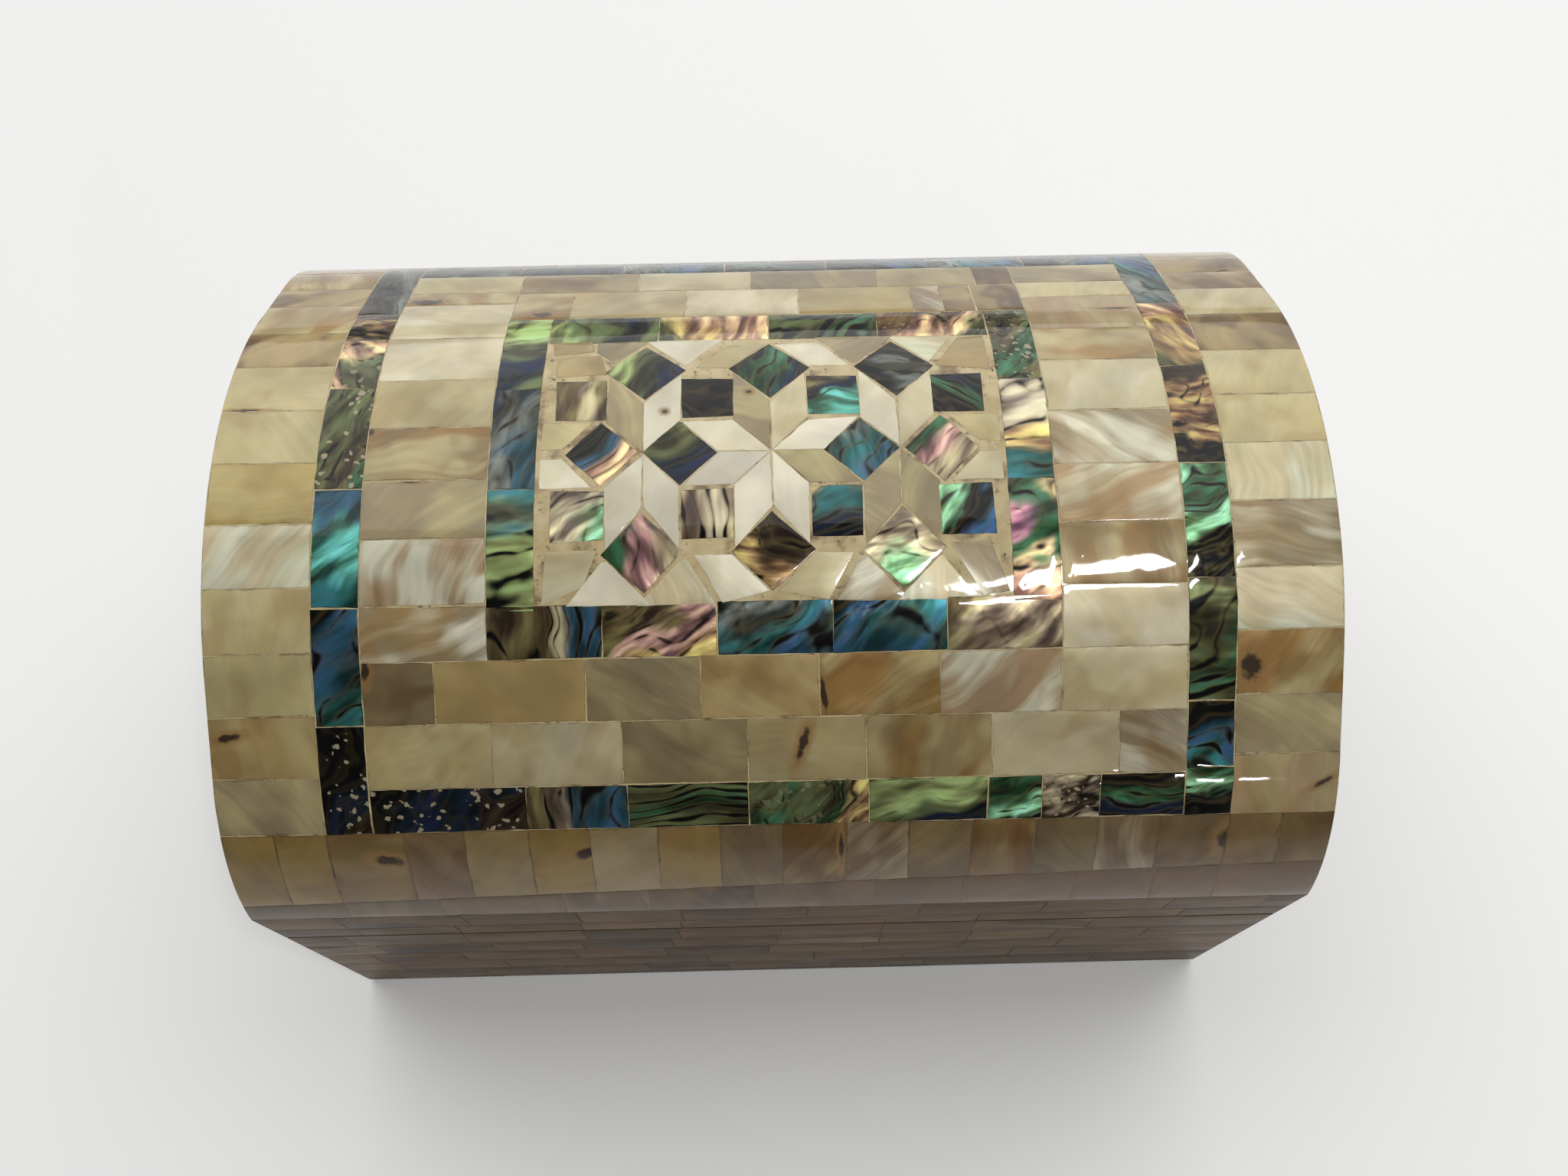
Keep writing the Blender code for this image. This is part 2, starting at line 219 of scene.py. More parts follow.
# Kinds of pearl tile: ground, streak and stain, then how strong streaks, stains and rainbow are
PEARLS = {
    "chalk": ("white", "white", "ivory", 0.3, 0.5, 0.03),
    "cream": ("cream", "ivory", "sand", 0.5, 0.5, 0.02),
    "ivory": ("ivory", "white", "sand", 0.4, 0.4, 0.02),
    "straw": ("straw", "cream", "ochre", 0.5, 0.35, 0.02),
    "sand": ("sand", "cream", "tan", 0.5, 0.45, 0.03),
    "ochre": ("ochre", "cream", "tan", 0.9, 0.6, 0.04),
    "pink": ("pink", "cream", "ochre", 0.6, 0.35, 0.1),
    "grey": ("grey", "cream", "smoke", 0.7, 0.4, 0.06),
    "smoke": ("smoke", "grey", "brown", 0.4, 0.5, 0.03),
    "brown": ("sand", "tan", "brown", 0.9, 0.7, 0.03),
    # The white streaks of the shiny, silk and bright kinds are the shell's own white and painted
    # highlights.
    "shiny": ("pink", "white", "ochre", 1.0, 0.5, 0.18),
    "silk": ("grey", "white", "ochre", 1.0, 0.5, 0.1),
    "bright": ("ivory", "white", "mint", 1.0, 0.1, 0.22),
    "streaked": ("cream", "ochre", "tan", 0.9, 0.5, 0.04),
    "dusk": ("grey", "pink", "tan", 0.7, 0.5, 0.06),
    "putty": ("pink", "sand", "tan", 0.15, 0.2, 0.0),
    "filler": ("sand", "cream", "tan", 0.15, 0.15, 0.0),
}

# Kinds of abalone tile: three colours across the growth lines, then lines, bubbles and scale
ABALONES = {
    "night": ("black", "navy", "blue", 0.8, 0.0, 1.0),
    "deep": ("navy", "slate", "blue", 1.0, 0.0, 0.7),
    "loops": ("black", "green", "navy", 1.3, 0.0, 0.9),
    "waves": ("moss", "green", "moss", 1.6, 0.0, 0.6),
    "royal": ("black", "blue", "teal", 1.2, 0.0, 0.7),
    "tide": ("turquoise", "teal", "leaf", 1.4, 0.0, 0.6),
    "lagoon": ("blue", "turquoise", "teal", 0.3, 0.0, 0.7),
    "fern": ("leaf", "moss", "navy", 0.6, 0.0, 0.7),
    "meadow": ("moss", "green", "gold", 0.9, 0.3, 1.1),
    "olive": ("olive", "smoke", "olive", 0.4, 0.0, 0.7),
    "amber": ("moss", "gold", "peach", 0.5, 0.0, 0.7),
    "bark": ("dark", "tan", "black", 1.0, 0.0, 1.3),
    "stripes": ("smoke", "grey", "smoke", 1.5, 0.0, 0.6),
    "ashes": ("olive", "smoke", "blue", 1.2, 0.0, 0.7),
    "rainbow": ("grey", "gold", "teal", 1.0, 0.0, 0.7),
    "rose": ("olive", "rose", "gold", 0.9, 0.0, 0.9),
    "orchid": ("magenta", "green", "peach", 1.0, 0.0, 0.7),
    "pearl": ("smoke", "cream", "mint", 0.9, 0.0, 0.8),
    "mint": ("mint", "black", "blue", 0.9, 0.0, 0.8),
    "mottled": ("moss", "olive", "green", 1.0, 0.7, 1.0),
    "froth": ("black", "navy", "dark", 0.5, 1.0, 1.0),
    "crumbly": ("smoke", "dark", "grey", 1.0, 0.9, 1.4),
    "copper": ("brown", "peach", "moss", 0.9, 0.4, 0.8),
    "slate": ("slate", "teal", "blue", 1.2, 0.0, 0.8),
    "emerald": ("green", "mint", "black", 1.2, 0.0, 1.0),
    "glint": ("olive", "navy", "turquoise", 0.8, 0.0, 0.8),
    "arch": ("dark", "black", "slate", 1.0, 0.0, 0.8),
    "dawn": ("green", "rose", "smoke", 0.7, 0.0, 0.7),
    "flame": ("dark", "gold", "rose", 1.1, 0.0, 0.8),
    "dusk": ("black", "blue", "peach", 0.7, 0.0, 0.7),
    "reed": ("gold", "teal", "navy", 1.4, 0.0, 0.6),
}

# Dark marks and holes on the pearl tiles: x and arc, half width and half height, turn in degrees
MARKS = (
    (-62.8, 66.5, 2.8, 1.1, -10), (-31.4, 66.0, 2.2, 1.2, 15), (71.9, 65.9, 1.4, 2.2, 0),
    (74.5, 36.7, 1.9, 2.6, 0), (-64.3, -4.9, 0.9, 0.9, 0), (-60.6, -41.7, 3.3, 1.4, 0),
    (-39.5, -35.1, 1.9, 1.2, 0), (-64.0, 34.1, 0.8, 2.2, 0), (4.0, 47.4, 0.8, 3.3, -18),
    (7.4, 39.6, 0.6, 3.2, 8), (9.9, 66.0, 0.5, 3.4, 0), (-3.4, -11.7, 0.6, 0.5, 0),
    (-17.1, -7.9, 0.6, 0.5, 0), (-15.0, -4.3, 0.3, 1.2, 0), (84.0, -49.0, 1.6, 0.6, 20),
    (-86.0, 44.5, 2.2, 0.7, 10), (60.5, -33.0, 2.6, 0.4, 0), (-50.5, -27.0, 3.0, 0.3, 0),
    (-85.0, -9.8, 2.6, 0.35, 0), (-57.0, 4.3, 1.8, 0.3, 0), (86.5, 55.8, 1.8, 0.5, 30),
)


NO_MARK = (9.0, 9.0, 0.0)


class Skin:
    """Gathers the plates of one piece and the values that its materials read."""

    def __init__(self):
        self.points = []
        self.faces = []
        self.slots = []
        self.vectors = {"place": [], "rim": [], "traits": [], "mark": []}
        self.colors = {"first": [], "second": [], "third": []}

    def start(self):
        return len(self.points)

    def point(self, position, place, rim, look, mark=NO_MARK):
        self.points.append(position * MM)
        self.vectors["place"].append(place)
        self.vectors["rim"].append(rim)
        self.vectors["traits"].append(look["traits"])
        self.vectors["mark"].append(mark)
        for name in self.colors:
            self.colors[name].append(look[name])

    def face(self, corners, slot):
        self.faces.append(corners)
        self.slots.append(slot)

    def mesh(self, name, materials):
        mesh = bpy.data.meshes.new(name)
        mesh.from_pydata(self.points, [], self.faces)
        for material in materials:
            mesh.materials.append(material)
        mesh.polygons.foreach_set("material_index", self.slots)
        for key, rows in self.vectors.items():
            layer = mesh.attributes.new(key, "FLOAT_VECTOR", "POINT")
            layer.data.foreach_set("vector", [number for row in rows for number in row])
        for key, rows in self.colors.items():
            layer = mesh.attributes.new(key, "FLOAT_COLOR", "POINT")
            layer.data.foreach_set("color", [number for row in rows for number in row])
        mesh.shade_smooth()
        mesh.set_sharp_from_angle(angle=math.radians(14))
        mesh.update()
        return mesh


SHELL = 0
BED = 1


# Shares of painted shade that leave a tile's colours as they are
NO_PAINTED_SHADE = (1.0, 1.0, 1.0)


def make_look(kinds, kind, rng, painted_shade=NO_PAINTED_SHADE):
    """Colours and traits of one tile, a little off its kind's, and darkened by three shares of painted
    shade.
    """
    first, second, third, *traits = kinds[kind]
    light = rng.uniform(0.88, 1.08)
    warmth = rng.uniform(0.95, 1.04)

    def shade(name):
        red, green, blue, alpha = COLORS[name]
        return (red * light * painted_shade[0], green * light * painted_shade[1], blue * light * warmth * painted_shade[2], alpha)

    return {"first": shade(first), "second": shade(second), "third": shade(third), "traits": tuple(traits)}


def bed_look(tint_and_shade):
    """Values of the filler; only the first is read, as a colour the filler is multiplied by, which is
    painted shade where it is dark.
    """
    return {"first": tint_and_shade, "second": tint_and_shade, "third": tint_and_shade, "traits": (0.0, 0.0, 0.0)}


BED_LOOK = bed_look((1.0, 1.0, 1.0, 1))
# Painted shade for the filler under the dome's edge rows and, with a browner tone, for the walls' filler
PAINTED_SHADE_BED_LOOK = bed_look((0.3, 0.26, 0.2, 1))
WALL_PAINTED_SHADE_BED_LOOK = bed_look((0.22, 0.18, 0.13, 1))


def shrink(outline, amount):
    """The outline with every side moved in by amount."""
    count = len(outline)
    inner = []
    for number, corner in enumerate(outline):
        before = (corner - outline[number - 1]).normalized()
        after = (outline[(number + 1) % count] - corner).normalized()
        first = Vector((-before.y, before.x))
        second = Vector((-after.y, after.x))
        inner.append(corner + (first + second) * (amount / max(0.3, 1 + first.dot(second))))
    return inner


def lines(length, step, chamfer):
    """Shares along a side: the chamfer at both ends and an even number of steps between."""
    edge = chamfer / length
    count = max(2, 2 * round(length / step / 2))
    inner = [edge + (1 - 2 * edge) * number / count for number in range(count + 1)]
    return [0.0] + inner + [1.0] if chamfer else inner


def find_mark(corners):
    """The dark mark whose middle lies among the corners, if there is one."""
    places = [corner.x for corner in corners]
    arcs = [corner.y for corner in corners]
    for mark in MARKS:
        if min(places) < mark[0] < max(places) and min(arcs) < mark[1] < max(arcs):
            return mark
    return None


def on_mark(flat, mark):
    """Place in a mark's own measure, where its rim is at 1."""
    if mark is None:
        return NO_MARK
    x, arc, half_width, half_height, turn = mark
    spot = Matrix.Rotation(math.radians(turn), 2) @ (flat - Vector((x, arc)))
    return (spot.x / half_width, spot.y / half_height, 0.0)


def pattern_shift(rng):
    """A far place in the materials' patterns, so that no two tiles look the same."""
    return (rng.uniform(-500, 500), rng.uniform(-500, 500), rng.uniform(-500, 500))


def shifted(place, shift):
    return (place.x + shift[0], place.y + shift[1], shift[2])


def wavering(flat, shift, amount):
    """How far a spot of a tile's outline strays from a straight cut."""
    return (noise.noise_vector((flat.x * WAVER_SCALE, flat.y * WAVER_SCALE, shift[2])) * amount).to_2d()


def add_plate(
    skin, wrap, corners, look, rng, slot, step, chamfer, depths, turn=None, waver=0.0, lean=(0, 0)
):
    """A closed plate on four corners, given from the upper left one clockwise.

    depths are those of the top, of the top's rim and of the underside. lean moves the upper and
    the lower edge of the underside inwards by that share of the depth.
    """
    upper_left, upper_right, lower_right, lower_left = corners
    width = max((upper_right - upper_left).length, (lower_right - lower_left).length)
    height = max((lower_left - upper_left).length, (lower_right - upper_right).length)
    across = lines(width, step, chamfer)
    down = lines(height, step, chamfer)
    middle = sum(corners, Vector((0, 0))) / 4
    spin = Matrix.Rotation(rng.uniform(0, math.pi) if turn is None else math.radians(turn), 2)
    shift = pattern_shift(rng)
    tilt = (rng.uniform(-TILT, TILT), rng.uniform(-TILT, TILT))
    reach = max(abs((spin @ (corner - middle)).y) for corner in corners)
    mark = find_mark(corners) if wrap is on_dome else None
    top, rim_depth, foot = depths
    last_column = len(across) - 1
    last_row = len(down) - 1

    def put(share, fall, depth):
        flat = upper_left.lerp(upper_right, share).lerp(lower_left.lerp(lower_right, share), fall)
        if waver:
            flat = flat + wavering(flat, shift, waver)
        pull = lean[0] * depth * (1 - fall) - lean[1] * depth * fall
        place = spin @ (flat - middle)
        rim = (min(share, 1 - share) * width, min(fall, 1 - fall) * height, place.y / reach)
        position = wrap(max(-HALF_LENGTH, min(HALF_LENGTH, flat.x)), flat.y + pull, depth)
        skin.point(position, shifted(place, shift), rim, look, on_mark(flat, mark))

    start = skin.start()
    for column, share in enumerate(across):
        for row, fall in enumerate(down):
            rim = column in (0, last_column) or row in (0, last_row)
            slant = tilt[0] * (share - 0.5) + tilt[1] * (fall - 0.5) if chamfer else 0
            put(share, fall, rim_depth if rim else max(0.0, top + slant))

    def index(column, row):
        return start + column * (last_row + 1) + row

    for column in range(last_column):
        for row in range(last_row):
            after = column + 1
            ring = (index(column, row), index(column, row + 1), index(after, row + 1), index(after, row))
            skin.face(ring, slot)
    left = [(0, row) for row in range(last_row)]
    bottom = [(column, last_row) for column in range(last_column)]
    right = [(last_column, row) for row in range(last_row, 0, -1)]
    upper = [(column, 0) for column in range(last_column, 0, -1)]
    loop = left + bottom + right + upper
    below = {}
    for column, row in loop:
        below[column, row] = skin.start()
        put(across[column], down[row], foot)
    for number, place in enumerate(loop):
        after = loop[(number + 1) % len(loop)]
        skin.face((index(*place), below[place], below[after], index(*after)), slot)
    for row in range(last_row):
        strip = [below[0, row]]
        if row == 0:
            strip += [below[column, 0] for column in range(1, last_column)]
        strip += [below[last_column, row], below[last_column, row + 1]]
        if row == last_row - 1:
            strip += [below[column, last_row] for column in range(last_column - 1, 0, -1)]
        strip.append(below[0, row + 1])
        skin.face(strip, slot)


def add_tile(skin, wrap, corners, look, rng, step=DOME_STEP, turn=None, loose=LOOSE):
    """A shell tile with hand-cut corners and fine rounded edges."""
    outline = [
        corner + Vector((rng.uniform(-loose, loose), rng.uniform(-loose, loose)))
        for corner in shrink([Vector(corner) for corner in corners], JOINT / 2)
    ]
    add_plate(skin, wrap, outline, look, rng, SHELL, step, CHAMFER, TILE_DEPTHS, turn, waver=WAVER)


def add_kind(skin, corners, kinds, kind, rng, turn=None, loose=LOOSE, painted_shade=NO_PAINTED_SHADE):
    """A tile of the dome of the given kind."""
    add_tile(skin, on_dome, corners, make_look(kinds, kind, rng, painted_shade), rng, turn=turn, loose=loose)


def add_bed(skin, wrap, corners, lean=(0, 0), step=DOME_STEP, look=BED_LOOK):
    """A plate of filler as thick as the mosaic."""
    outline = [Vector(corner) for corner in corners]
    rng = random.Random(0)
    add_plate(skin, wrap, outline, look, rng, BED, step, 0.0, BED_DEPTHS, turn=0, lean=lean)


def rectangle(left, upper, right, lower):
    return [(left, upper), (right, upper), (right, lower), (left, lower)]


def add_slab(skin, wrap, outline, look, rng, slot, depths, waver=0.0):
    """A closed flat plate on any convex outline, for the round-topped ends."""
    top, rim_depth, foot = depths
    count = len(outline)
    middle = sum(outline, Vector((0, 0))) / count
    spin = Matrix.Rotation(rng.uniform(-SLAB_TURN, SLAB_TURN), 2)
    shift = pattern_shift(rng)
    rings = []
    for ring, depth in ((shrink(outline, CHAMFER), top), (outline, rim_depth), (outline, foot)):
        start = skin.start()
        for flat in ring:
            place = spin @ (flat - middle)
            spot = flat + wavering(flat, shift, waver)
            skin.point(wrap(spot.x, spot.y, depth), shifted(place, shift), FAR_FROM_RIM, look)
        rings.append(range(start, start + count))
    upper, rim, lower = rings
    skin.face([upper[number] for number in reversed(range(count))], slot)
    skin.face(list(lower), slot)
    for number in range(count):
        after = (number + 1) % count
        skin.face((upper[after], upper[number], rim[number], rim[after]), slot)
        skin.face((rim[after], rim[number], lower[number], lower[after]), slot)


def clip(outline, fence):
    """The part of a convex outline inside a convex fence; both run the same way round."""
    for number, start in enumerate(fence):
        end = fence[(number + 1) % len(fence)]
        side = end - start

        def inside(spot):
            return side.cross(spot - start) >= 0

        kept = []
        for place, spot in enumerate(outline):
            before = outline[place - 1]
            if inside(spot) != inside(before):
                near = side.cross(before - start)
                far = side.cross(spot - start)
                kept.append(before.lerp(spot, near / (near - far)))
            if inside(spot):
                kept.append(spot)
        outline = kept
        if not outline:
            return []
    return outline


def thin_out(outline, least):
    """The outline without corners that stand closer together than least."""
    kept = []
    for spot in outline:
        if all((spot - other).length > least for other in kept):
            kept.append(spot)
    return kept


class Shader:
    """A material built from nodes; every method gives a socket for the next one."""

    def __init__(self, name):
        self.material = bpy.data.materials.new(name)
        self.material.use_nodes = True
        self.tree = self.material.node_tree
        self.surface = self.tree.nodes["Principled BSDF"]

    def put(self, socket, value):
        if isinstance(value, bpy.types.NodeSocket):
            self.tree.links.new(value, socket)
        else:
            socket.default_value = value

    def node(self, kind, inputs, **settings):
        made = self.tree.nodes.new("ShaderNode" + kind)
        for key, value in settings.items():
            setattr(made, key, value)
        for key, value in inputs.items():
            self.put(made.inputs[key], value)
        return made

    def attribute(self, name, output):
        return self.node("Attribute", {}, attribute_name=name).outputs[output]

    def split(self, vector):
        parts = self.node("SeparateXYZ", {0: vector}).outputs
        return parts[0], parts[1], parts[2]

    def vector(self, operation, first, second):
        return self.node("VectorMath", {0: first, 1: second}, operation=operation).outputs[0]

    def math(self, operation, first, second=0.0):
        return self.node("Math", {0: first, 1: second}, operation=operation).outputs[0]

    def times(self, first, second):
        return self.math("MULTIPLY", first, second)

    def plus(self, first, second):
        return self.math("ADD", first, second)

    def minus(self, first, second):
        return self.math("SUBTRACT", first, second)

    def noise(self, vector, stretch, detail=2.0, roughness=0.5):
        scaled = self.vector("MULTIPLY", vector, stretch)
        inputs = {"Vector": scaled, "Scale": 1.0, "Detail": detail, "Roughness": roughness}
        return self.node("TexNoise", inputs).outputs

    def sway(self, vector, scale, amount):
        """The vector bent by soft noise."""
        colour = self.noise(vector, (scale,) * 3, 1.0)["Color"]
        centred = self.vector("SUBTRACT", colour, (0.5,) * 3)
        return self.vector("ADD", vector, self.vector("MULTIPLY", centred, (amount,) * 3))

    def smooth(self, value, low, high, to_low=0.0, to_high=1.0):
        inputs = {"Value": value, "From Min": low, "From Max": high, "To Min": to_low, "To Max": to_high}
        return self.node("MapRange", inputs, interpolation_type="SMOOTHSTEP").outputs[0]

    def mix(self, factor, first, second, blend="MIX"):
        inputs = {0: factor, 6: first, 7: second}
        return self.node("Mix", inputs, data_type="RGBA", blend_type=blend).outputs[2]

    def bump(self, height, strength, distance):
        inputs = {"Strength": strength, "Distance": distance * MM, "Height": height}
        return self.node("Bump", inputs).outputs[0]

    def resin(self, flow):
        """The clear coat's own surface: slow waves and small pits."""
        waves = self.noise(flow, (110.0,) * 3, 2.0, 0.45)["Fac"]
        pits = self.node("TexVoronoi", {"Vector": flow, "Scale": 330.0}).outputs["Distance"]
        dimple = self.smooth(pits, 0.06, 0.16)
        height = self.plus(self.times(waves, 1.0), self.times(dimple, 0.05))
        return self.bump(height, 0.55, 0.16)

    def finish(self, color, roughness, metallic, normal, coat, weight=1.0, specular=0.3):
        self.put(self.surface.inputs["Base Color"], color)
        self.put(self.surface.inputs["Roughness"], roughness)
        self.put(self.surface.inputs["Metallic"], metallic)
        self.put(self.surface.inputs["Specular IOR Level"], specular)
        self.put(self.surface.inputs["Normal"], normal)
        if coat:
            self.put(self.surface.inputs["Coat Weight"], weight)
            self.put(self.surface.inputs["Coat Roughness"], 0.04)
            self.put(self.surface.inputs["Coat IOR"], 1.31)
            self.put(self.surface.inputs["Coat Normal"], coat)
        return self.material


def shaded(shader, color, shade):
    """The colour darkened or lightened by a value."""
    grey = shader.node("CombineColor", {0: shade, 1: shade, 2: shade}).outputs[0]
    return shader.mix(1.0, color, grey, "MULTIPLY")


# Shade at the rims of the pearl and the abalone tiles
PEARL_RIM = 0.58
ABALONE_RIM = 0.35


def rim_shade(shader, place, dark):
    """One inside a tile, and darker by patches along its edges."""
    side, end = shader.split(shader.attribute("rim", "Vector"))[:2]
    rim = shader.math("MINIMUM", side, end)
    worn = shader.smooth(shader.noise(place, (0.5,) * 3, 3.0)["Fac"], 0.45, 0.75, 0.05, 0.36)
    return shader.smooth(shader.math("DIVIDE", rim, worn), 0.2, 1.0, dark, 1.0)


def add_mark(shader, color, place):
    """A dark mark of outer shell with a brown halo."""
    spot = shader.vector("MULTIPLY", shader.attribute("mark", "Vector"), (1, 1, 0))
    reach = shader.node("VectorMath", {0: spot}, operation="LENGTH").outputs["Value"]
    wobble = shader.minus(shader.noise(place, (0.8,) * 3, 2.0)["Fac"], 0.5)
    reach = shader.plus(reach, shader.times(wobble, 1.1))
    color = shader.mix(shader.smooth(reach, 0.9, 2.4, 0.75, 0.0), color, COLORS["tan"])
    return shader.mix(shader.smooth(reach, 0.5, 1.1, 0.95, 0.0), color, COLORS["dark"])


def make_pearl(name, tint_and_shade, gloss, specular):
    """Mother of pearl: a cloudy ground, drawn-out streaks, stains and a faint rainbow."""
    shader = Shader(name)
    flow = shader.node("TexCoord", {}).outputs["Object"]
    place = shader.attribute("place", "Vector")
    streaks, stains, rainbow = shader.split(shader.attribute("traits", "Vector"))
    bent = shader.sway(place, 0.07, 8.0)
    folds = shader.noise(bent, (0.04, 0.17, 0.3), 1.0, 0.4)["Fac"]
    fine = shader.minus(shader.noise(bent, (0.09, 0.9, 0.3), 1.5, 0.5)["Fac"], 0.5)
    fine = shader.times(fine, streaks)
    cloud = shader.noise(place, (0.1,) * 3, 2.0)["Fac"]
    patch = shader.noise(shader.sway(place, 0.15, 5.0), (0.08, 0.13, 0.3), 1.0)["Fac"]
    drawn = shader.plus(folds, shader.times(fine, 0.22))
    streaked = shader.times(shader.smooth(drawn, 0.4, 0.68), streaks)
    color = shader.mix(streaked, shader.attribute("first", "Color"), shader.attribute("second", "Color"))
    stained = shader.times(shader.smooth(patch, 0.46, 0.66), stains)
    color = shader.mix(stained, color, shader.attribute("third", "Color"))
    wash = shader.mix(shader.smooth(drawn, 0.38, 0.62), (1.0, 0.76, 0.8, 1), (0.74, 1.0, 0.9, 1))
    color = shader.mix(rainbow, color, wash, "MULTIPLY")
    shade = shader.plus(shader.smooth(cloud, 0.3, 0.7, 0.82, 1.08), shader.times(fine, 0.4))
    shade = shader.times(shade, rim_shade(shader, place, PEARL_RIM))
    # The material's own colour multiplies the shell's; in the walls' copy it is a browner tone and mostly
    # painted shade.
    color = shaded(shader, shader.mix(1.0, color, tint_and_shade, "MULTIPLY"), shade)
    color = add_mark(shader, color, place)
    normal = shader.bump(drawn, 0.3, 0.9)
    return shader.finish(color, 0.36, 0.1 * gloss, normal, shader.resin(flow), gloss, specular)


def make_abalone():
    """Abalone shell: three colours across dark growth lines, with bubbles and with patches of tone and
    painted glints.
    """
    shader = Shader("abalone_shell")
    flow = shader.node("TexCoord", {}).outputs["Object"]
    place = shader.attribute("place", "Vector")
    line_strength, bubbles, scale = shader.split(shader.attribute("traits", "Vector"))
    across = shader.split(shader.attribute("rim", "Vector"))[2]
    sized = shader.node("VectorMath", {0: place, 3: scale}, operation="SCALE").outputs[0]
    bent = shader.sway(sized, 0.12, 4.5)
    swirl = shader.noise(bent, (0.06, 0.1, 0.3), 1.0, 0.4)["Fac"]
    patches = shader.noise(bent, (0.2, 0.4, 0.3), 2.0, 0.5)["Fac"]
    field = shader.plus(shader.times(across, 0.22), swirl)
    blend = shader.plus(field, shader.times(shader.minus(patches, 0.5), 0.25))
    first = shader.smooth(blend, 0.36, 0.5)
    color = shader.mix(first, shader.attribute("first", "Color"), shader.attribute("second", "Color"))
    color = shader.mix(shader.smooth(blend, 0.54, 0.66), color, shader.attribute("third", "Color"))
    # Painted glints: the noise below darkens some patches and paints bright glints with a hue shift into
    # others.
    tone_and_painted_glint = shader.noise(bent, (0.13, 0.5, 0.3), 2.0)["Fac"]
    hue = shader.plus(0.5, shader.times(shader.minus(tone_and_painted_glint, 0.52), 0.22))
    value = shader.smooth(tone_and_painted_glint, 0.3, 0.74, 0.22, 2.1)
    inputs = {"Hue": hue, "Saturation": 0.88, "Value": value, "Color": color}
    color = shader.node("HueSaturation", inputs).outputs[0]
    waves = shader.math("FRACT", shader.times(field, 9.0))
    ridge = shader.math("ABSOLUTE", shader.minus(waves, 0.5))
    bold = shader.math("MAXIMUM", shader.minus(line_strength, 1.0), 0.0)
    thin = shader.smooth(patches, 0.36, 0.66, -0.07, 0.16)
    width = shader.plus(thin, shader.times(bold, 0.2))
    line = shader.smooth(shader.minus(ridge, width), -0.12, 0.08, 1.0, 0.0)
    strength = shader.math("MINIMUM", line_strength, 1.0)
    fringe = shader.smooth(shader.minus(ridge, width), 0.0, 0.28, 0.3, 0.0)
    color = shader.mix(shader.times(fringe, strength), color, COLORS["olive"])
    color = shader.mix(shader.times(line, strength), color, COLORS["black"])
    cells = shader.sway(place, 0.7, 1.6)
    cell = shader.node("TexVoronoi", {"Vector": cells, "Scale": 0.75}).outputs
    size = shader.times(shader.smooth(shader.split(cell["Color"])[0], 0.1, 1.0), 0.45)
    spot = shader.smooth(shader.minus(cell["Distance"], size), -0.1, 0.0, 1.0, 0.0)
    color = shader.mix(shader.times(spot, bubbles), color, COLORS["grey"])
    color = shaded(shader, color, rim_shade(shader, place, ABALONE_RIM))
    height = shader.plus(field, shader.times(patches, 0.5))
    normal = shader.bump(height, 0.4, 1.6)
    return shader.finish(color, 0.32, 0.35, normal, shader.resin(flow), specular=0.08)


def make_filler(name, gloss):
    """Beige filler with brown dirt in patches and fine dark specks, under the same resin."""
    shader = Shader(name)
    flow = shader.node("TexCoord", {}).outputs["Object"]
    cloud = shader.noise(flow, (260.0,) * 3, 3.0)["Fac"]
    color = shader.mix(shader.smooth(cloud, 0.3, 0.7), paint(168, 149, 106), paint(190, 173, 132))
    grime = shader.noise(flow, (150.0,) * 3, 4.0, 0.65)["Fac"]
    color = shader.mix(shader.smooth(grime, 0.5, 0.66, 0.0, 0.8), color, paint(98, 74, 44))
    dirt = shader.noise(flow, (700.0,) * 3, 4.0, 0.65)["Fac"]
    color = shader.mix(shader.smooth(dirt, 0.58, 0.74), color, paint(70, 52, 34))
    # The bed's colour multiplies the filler's; under the edge rows and on the walls it is painted shade.
    color = shader.mix(1.0, color, shader.attribute("first", "Color"), "MULTIPLY")
    normal = shader.bump(cloud, 0.3, 0.3)
    return shader.finish(color, 0.5, 0.0, normal, shader.resin(flow), gloss, 0.3 * gloss)


def make_wood():
    """Stained wood with fine grain along the box."""
    shader = Shader("stained_wood")
    flow = shader.node("TexCoord", {}).outputs["Object"]
    bent = shader.sway(flow, 18.0, 0.01)
    rings = shader.noise(bent, (14.0, 240.0, 240.0), 4.0, 0.6)["Fac"]
    pores = shader.noise(bent, (60.0, 1500.0, 1500.0), 2.0)["Fac"]
    color = shader.mix(shader.smooth(rings, 0.3, 0.7), paint(86, 54, 30), paint(142, 98, 58))
    color = shader.mix(shader.smooth(pores, 0.62, 0.72), color, paint(54, 34, 20))
    roughness = shader.smooth(rings, 0.3, 0.7, 0.45, 0.62)
    return shader.finish(color, roughness, 0.0, shader.bump(pores, 0.3, 0.2), None)


PEARL_SHELL = make_pearl("pearl_shell", (0.71, 0.68, 0.56, 1), 1.0, 0.3)
# The walls' copy of the pearl shell, with less gloss and a dark colour that is a browner tone and painted
# shade
WALL_SHELL_PAINTED_SHADE = make_pearl("wall_shell", (0.23, 0.16, 0.095, 1), 0.05, 0.05)
ABALONE_SHELL = make_abalone()
FILLER = make_filler("filler", 1.0)
WALL_FILLER = make_filler("wall_filler", 0.05)
WOOD = make_wood()


def place_piece(name, skin, material, nodes):
    """One object from a skin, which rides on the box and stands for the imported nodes."""
    filler = WALL_FILLER if material == WALL_SHELL_PAINTED_SHADE else FILLER
    piece = bpy.data.objects.new(name, skin.mesh(name, (material, filler)))
    bpy.context.scene.collection.objects.link(piece)
    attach(piece, "root")
    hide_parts(*nodes)
    return piece


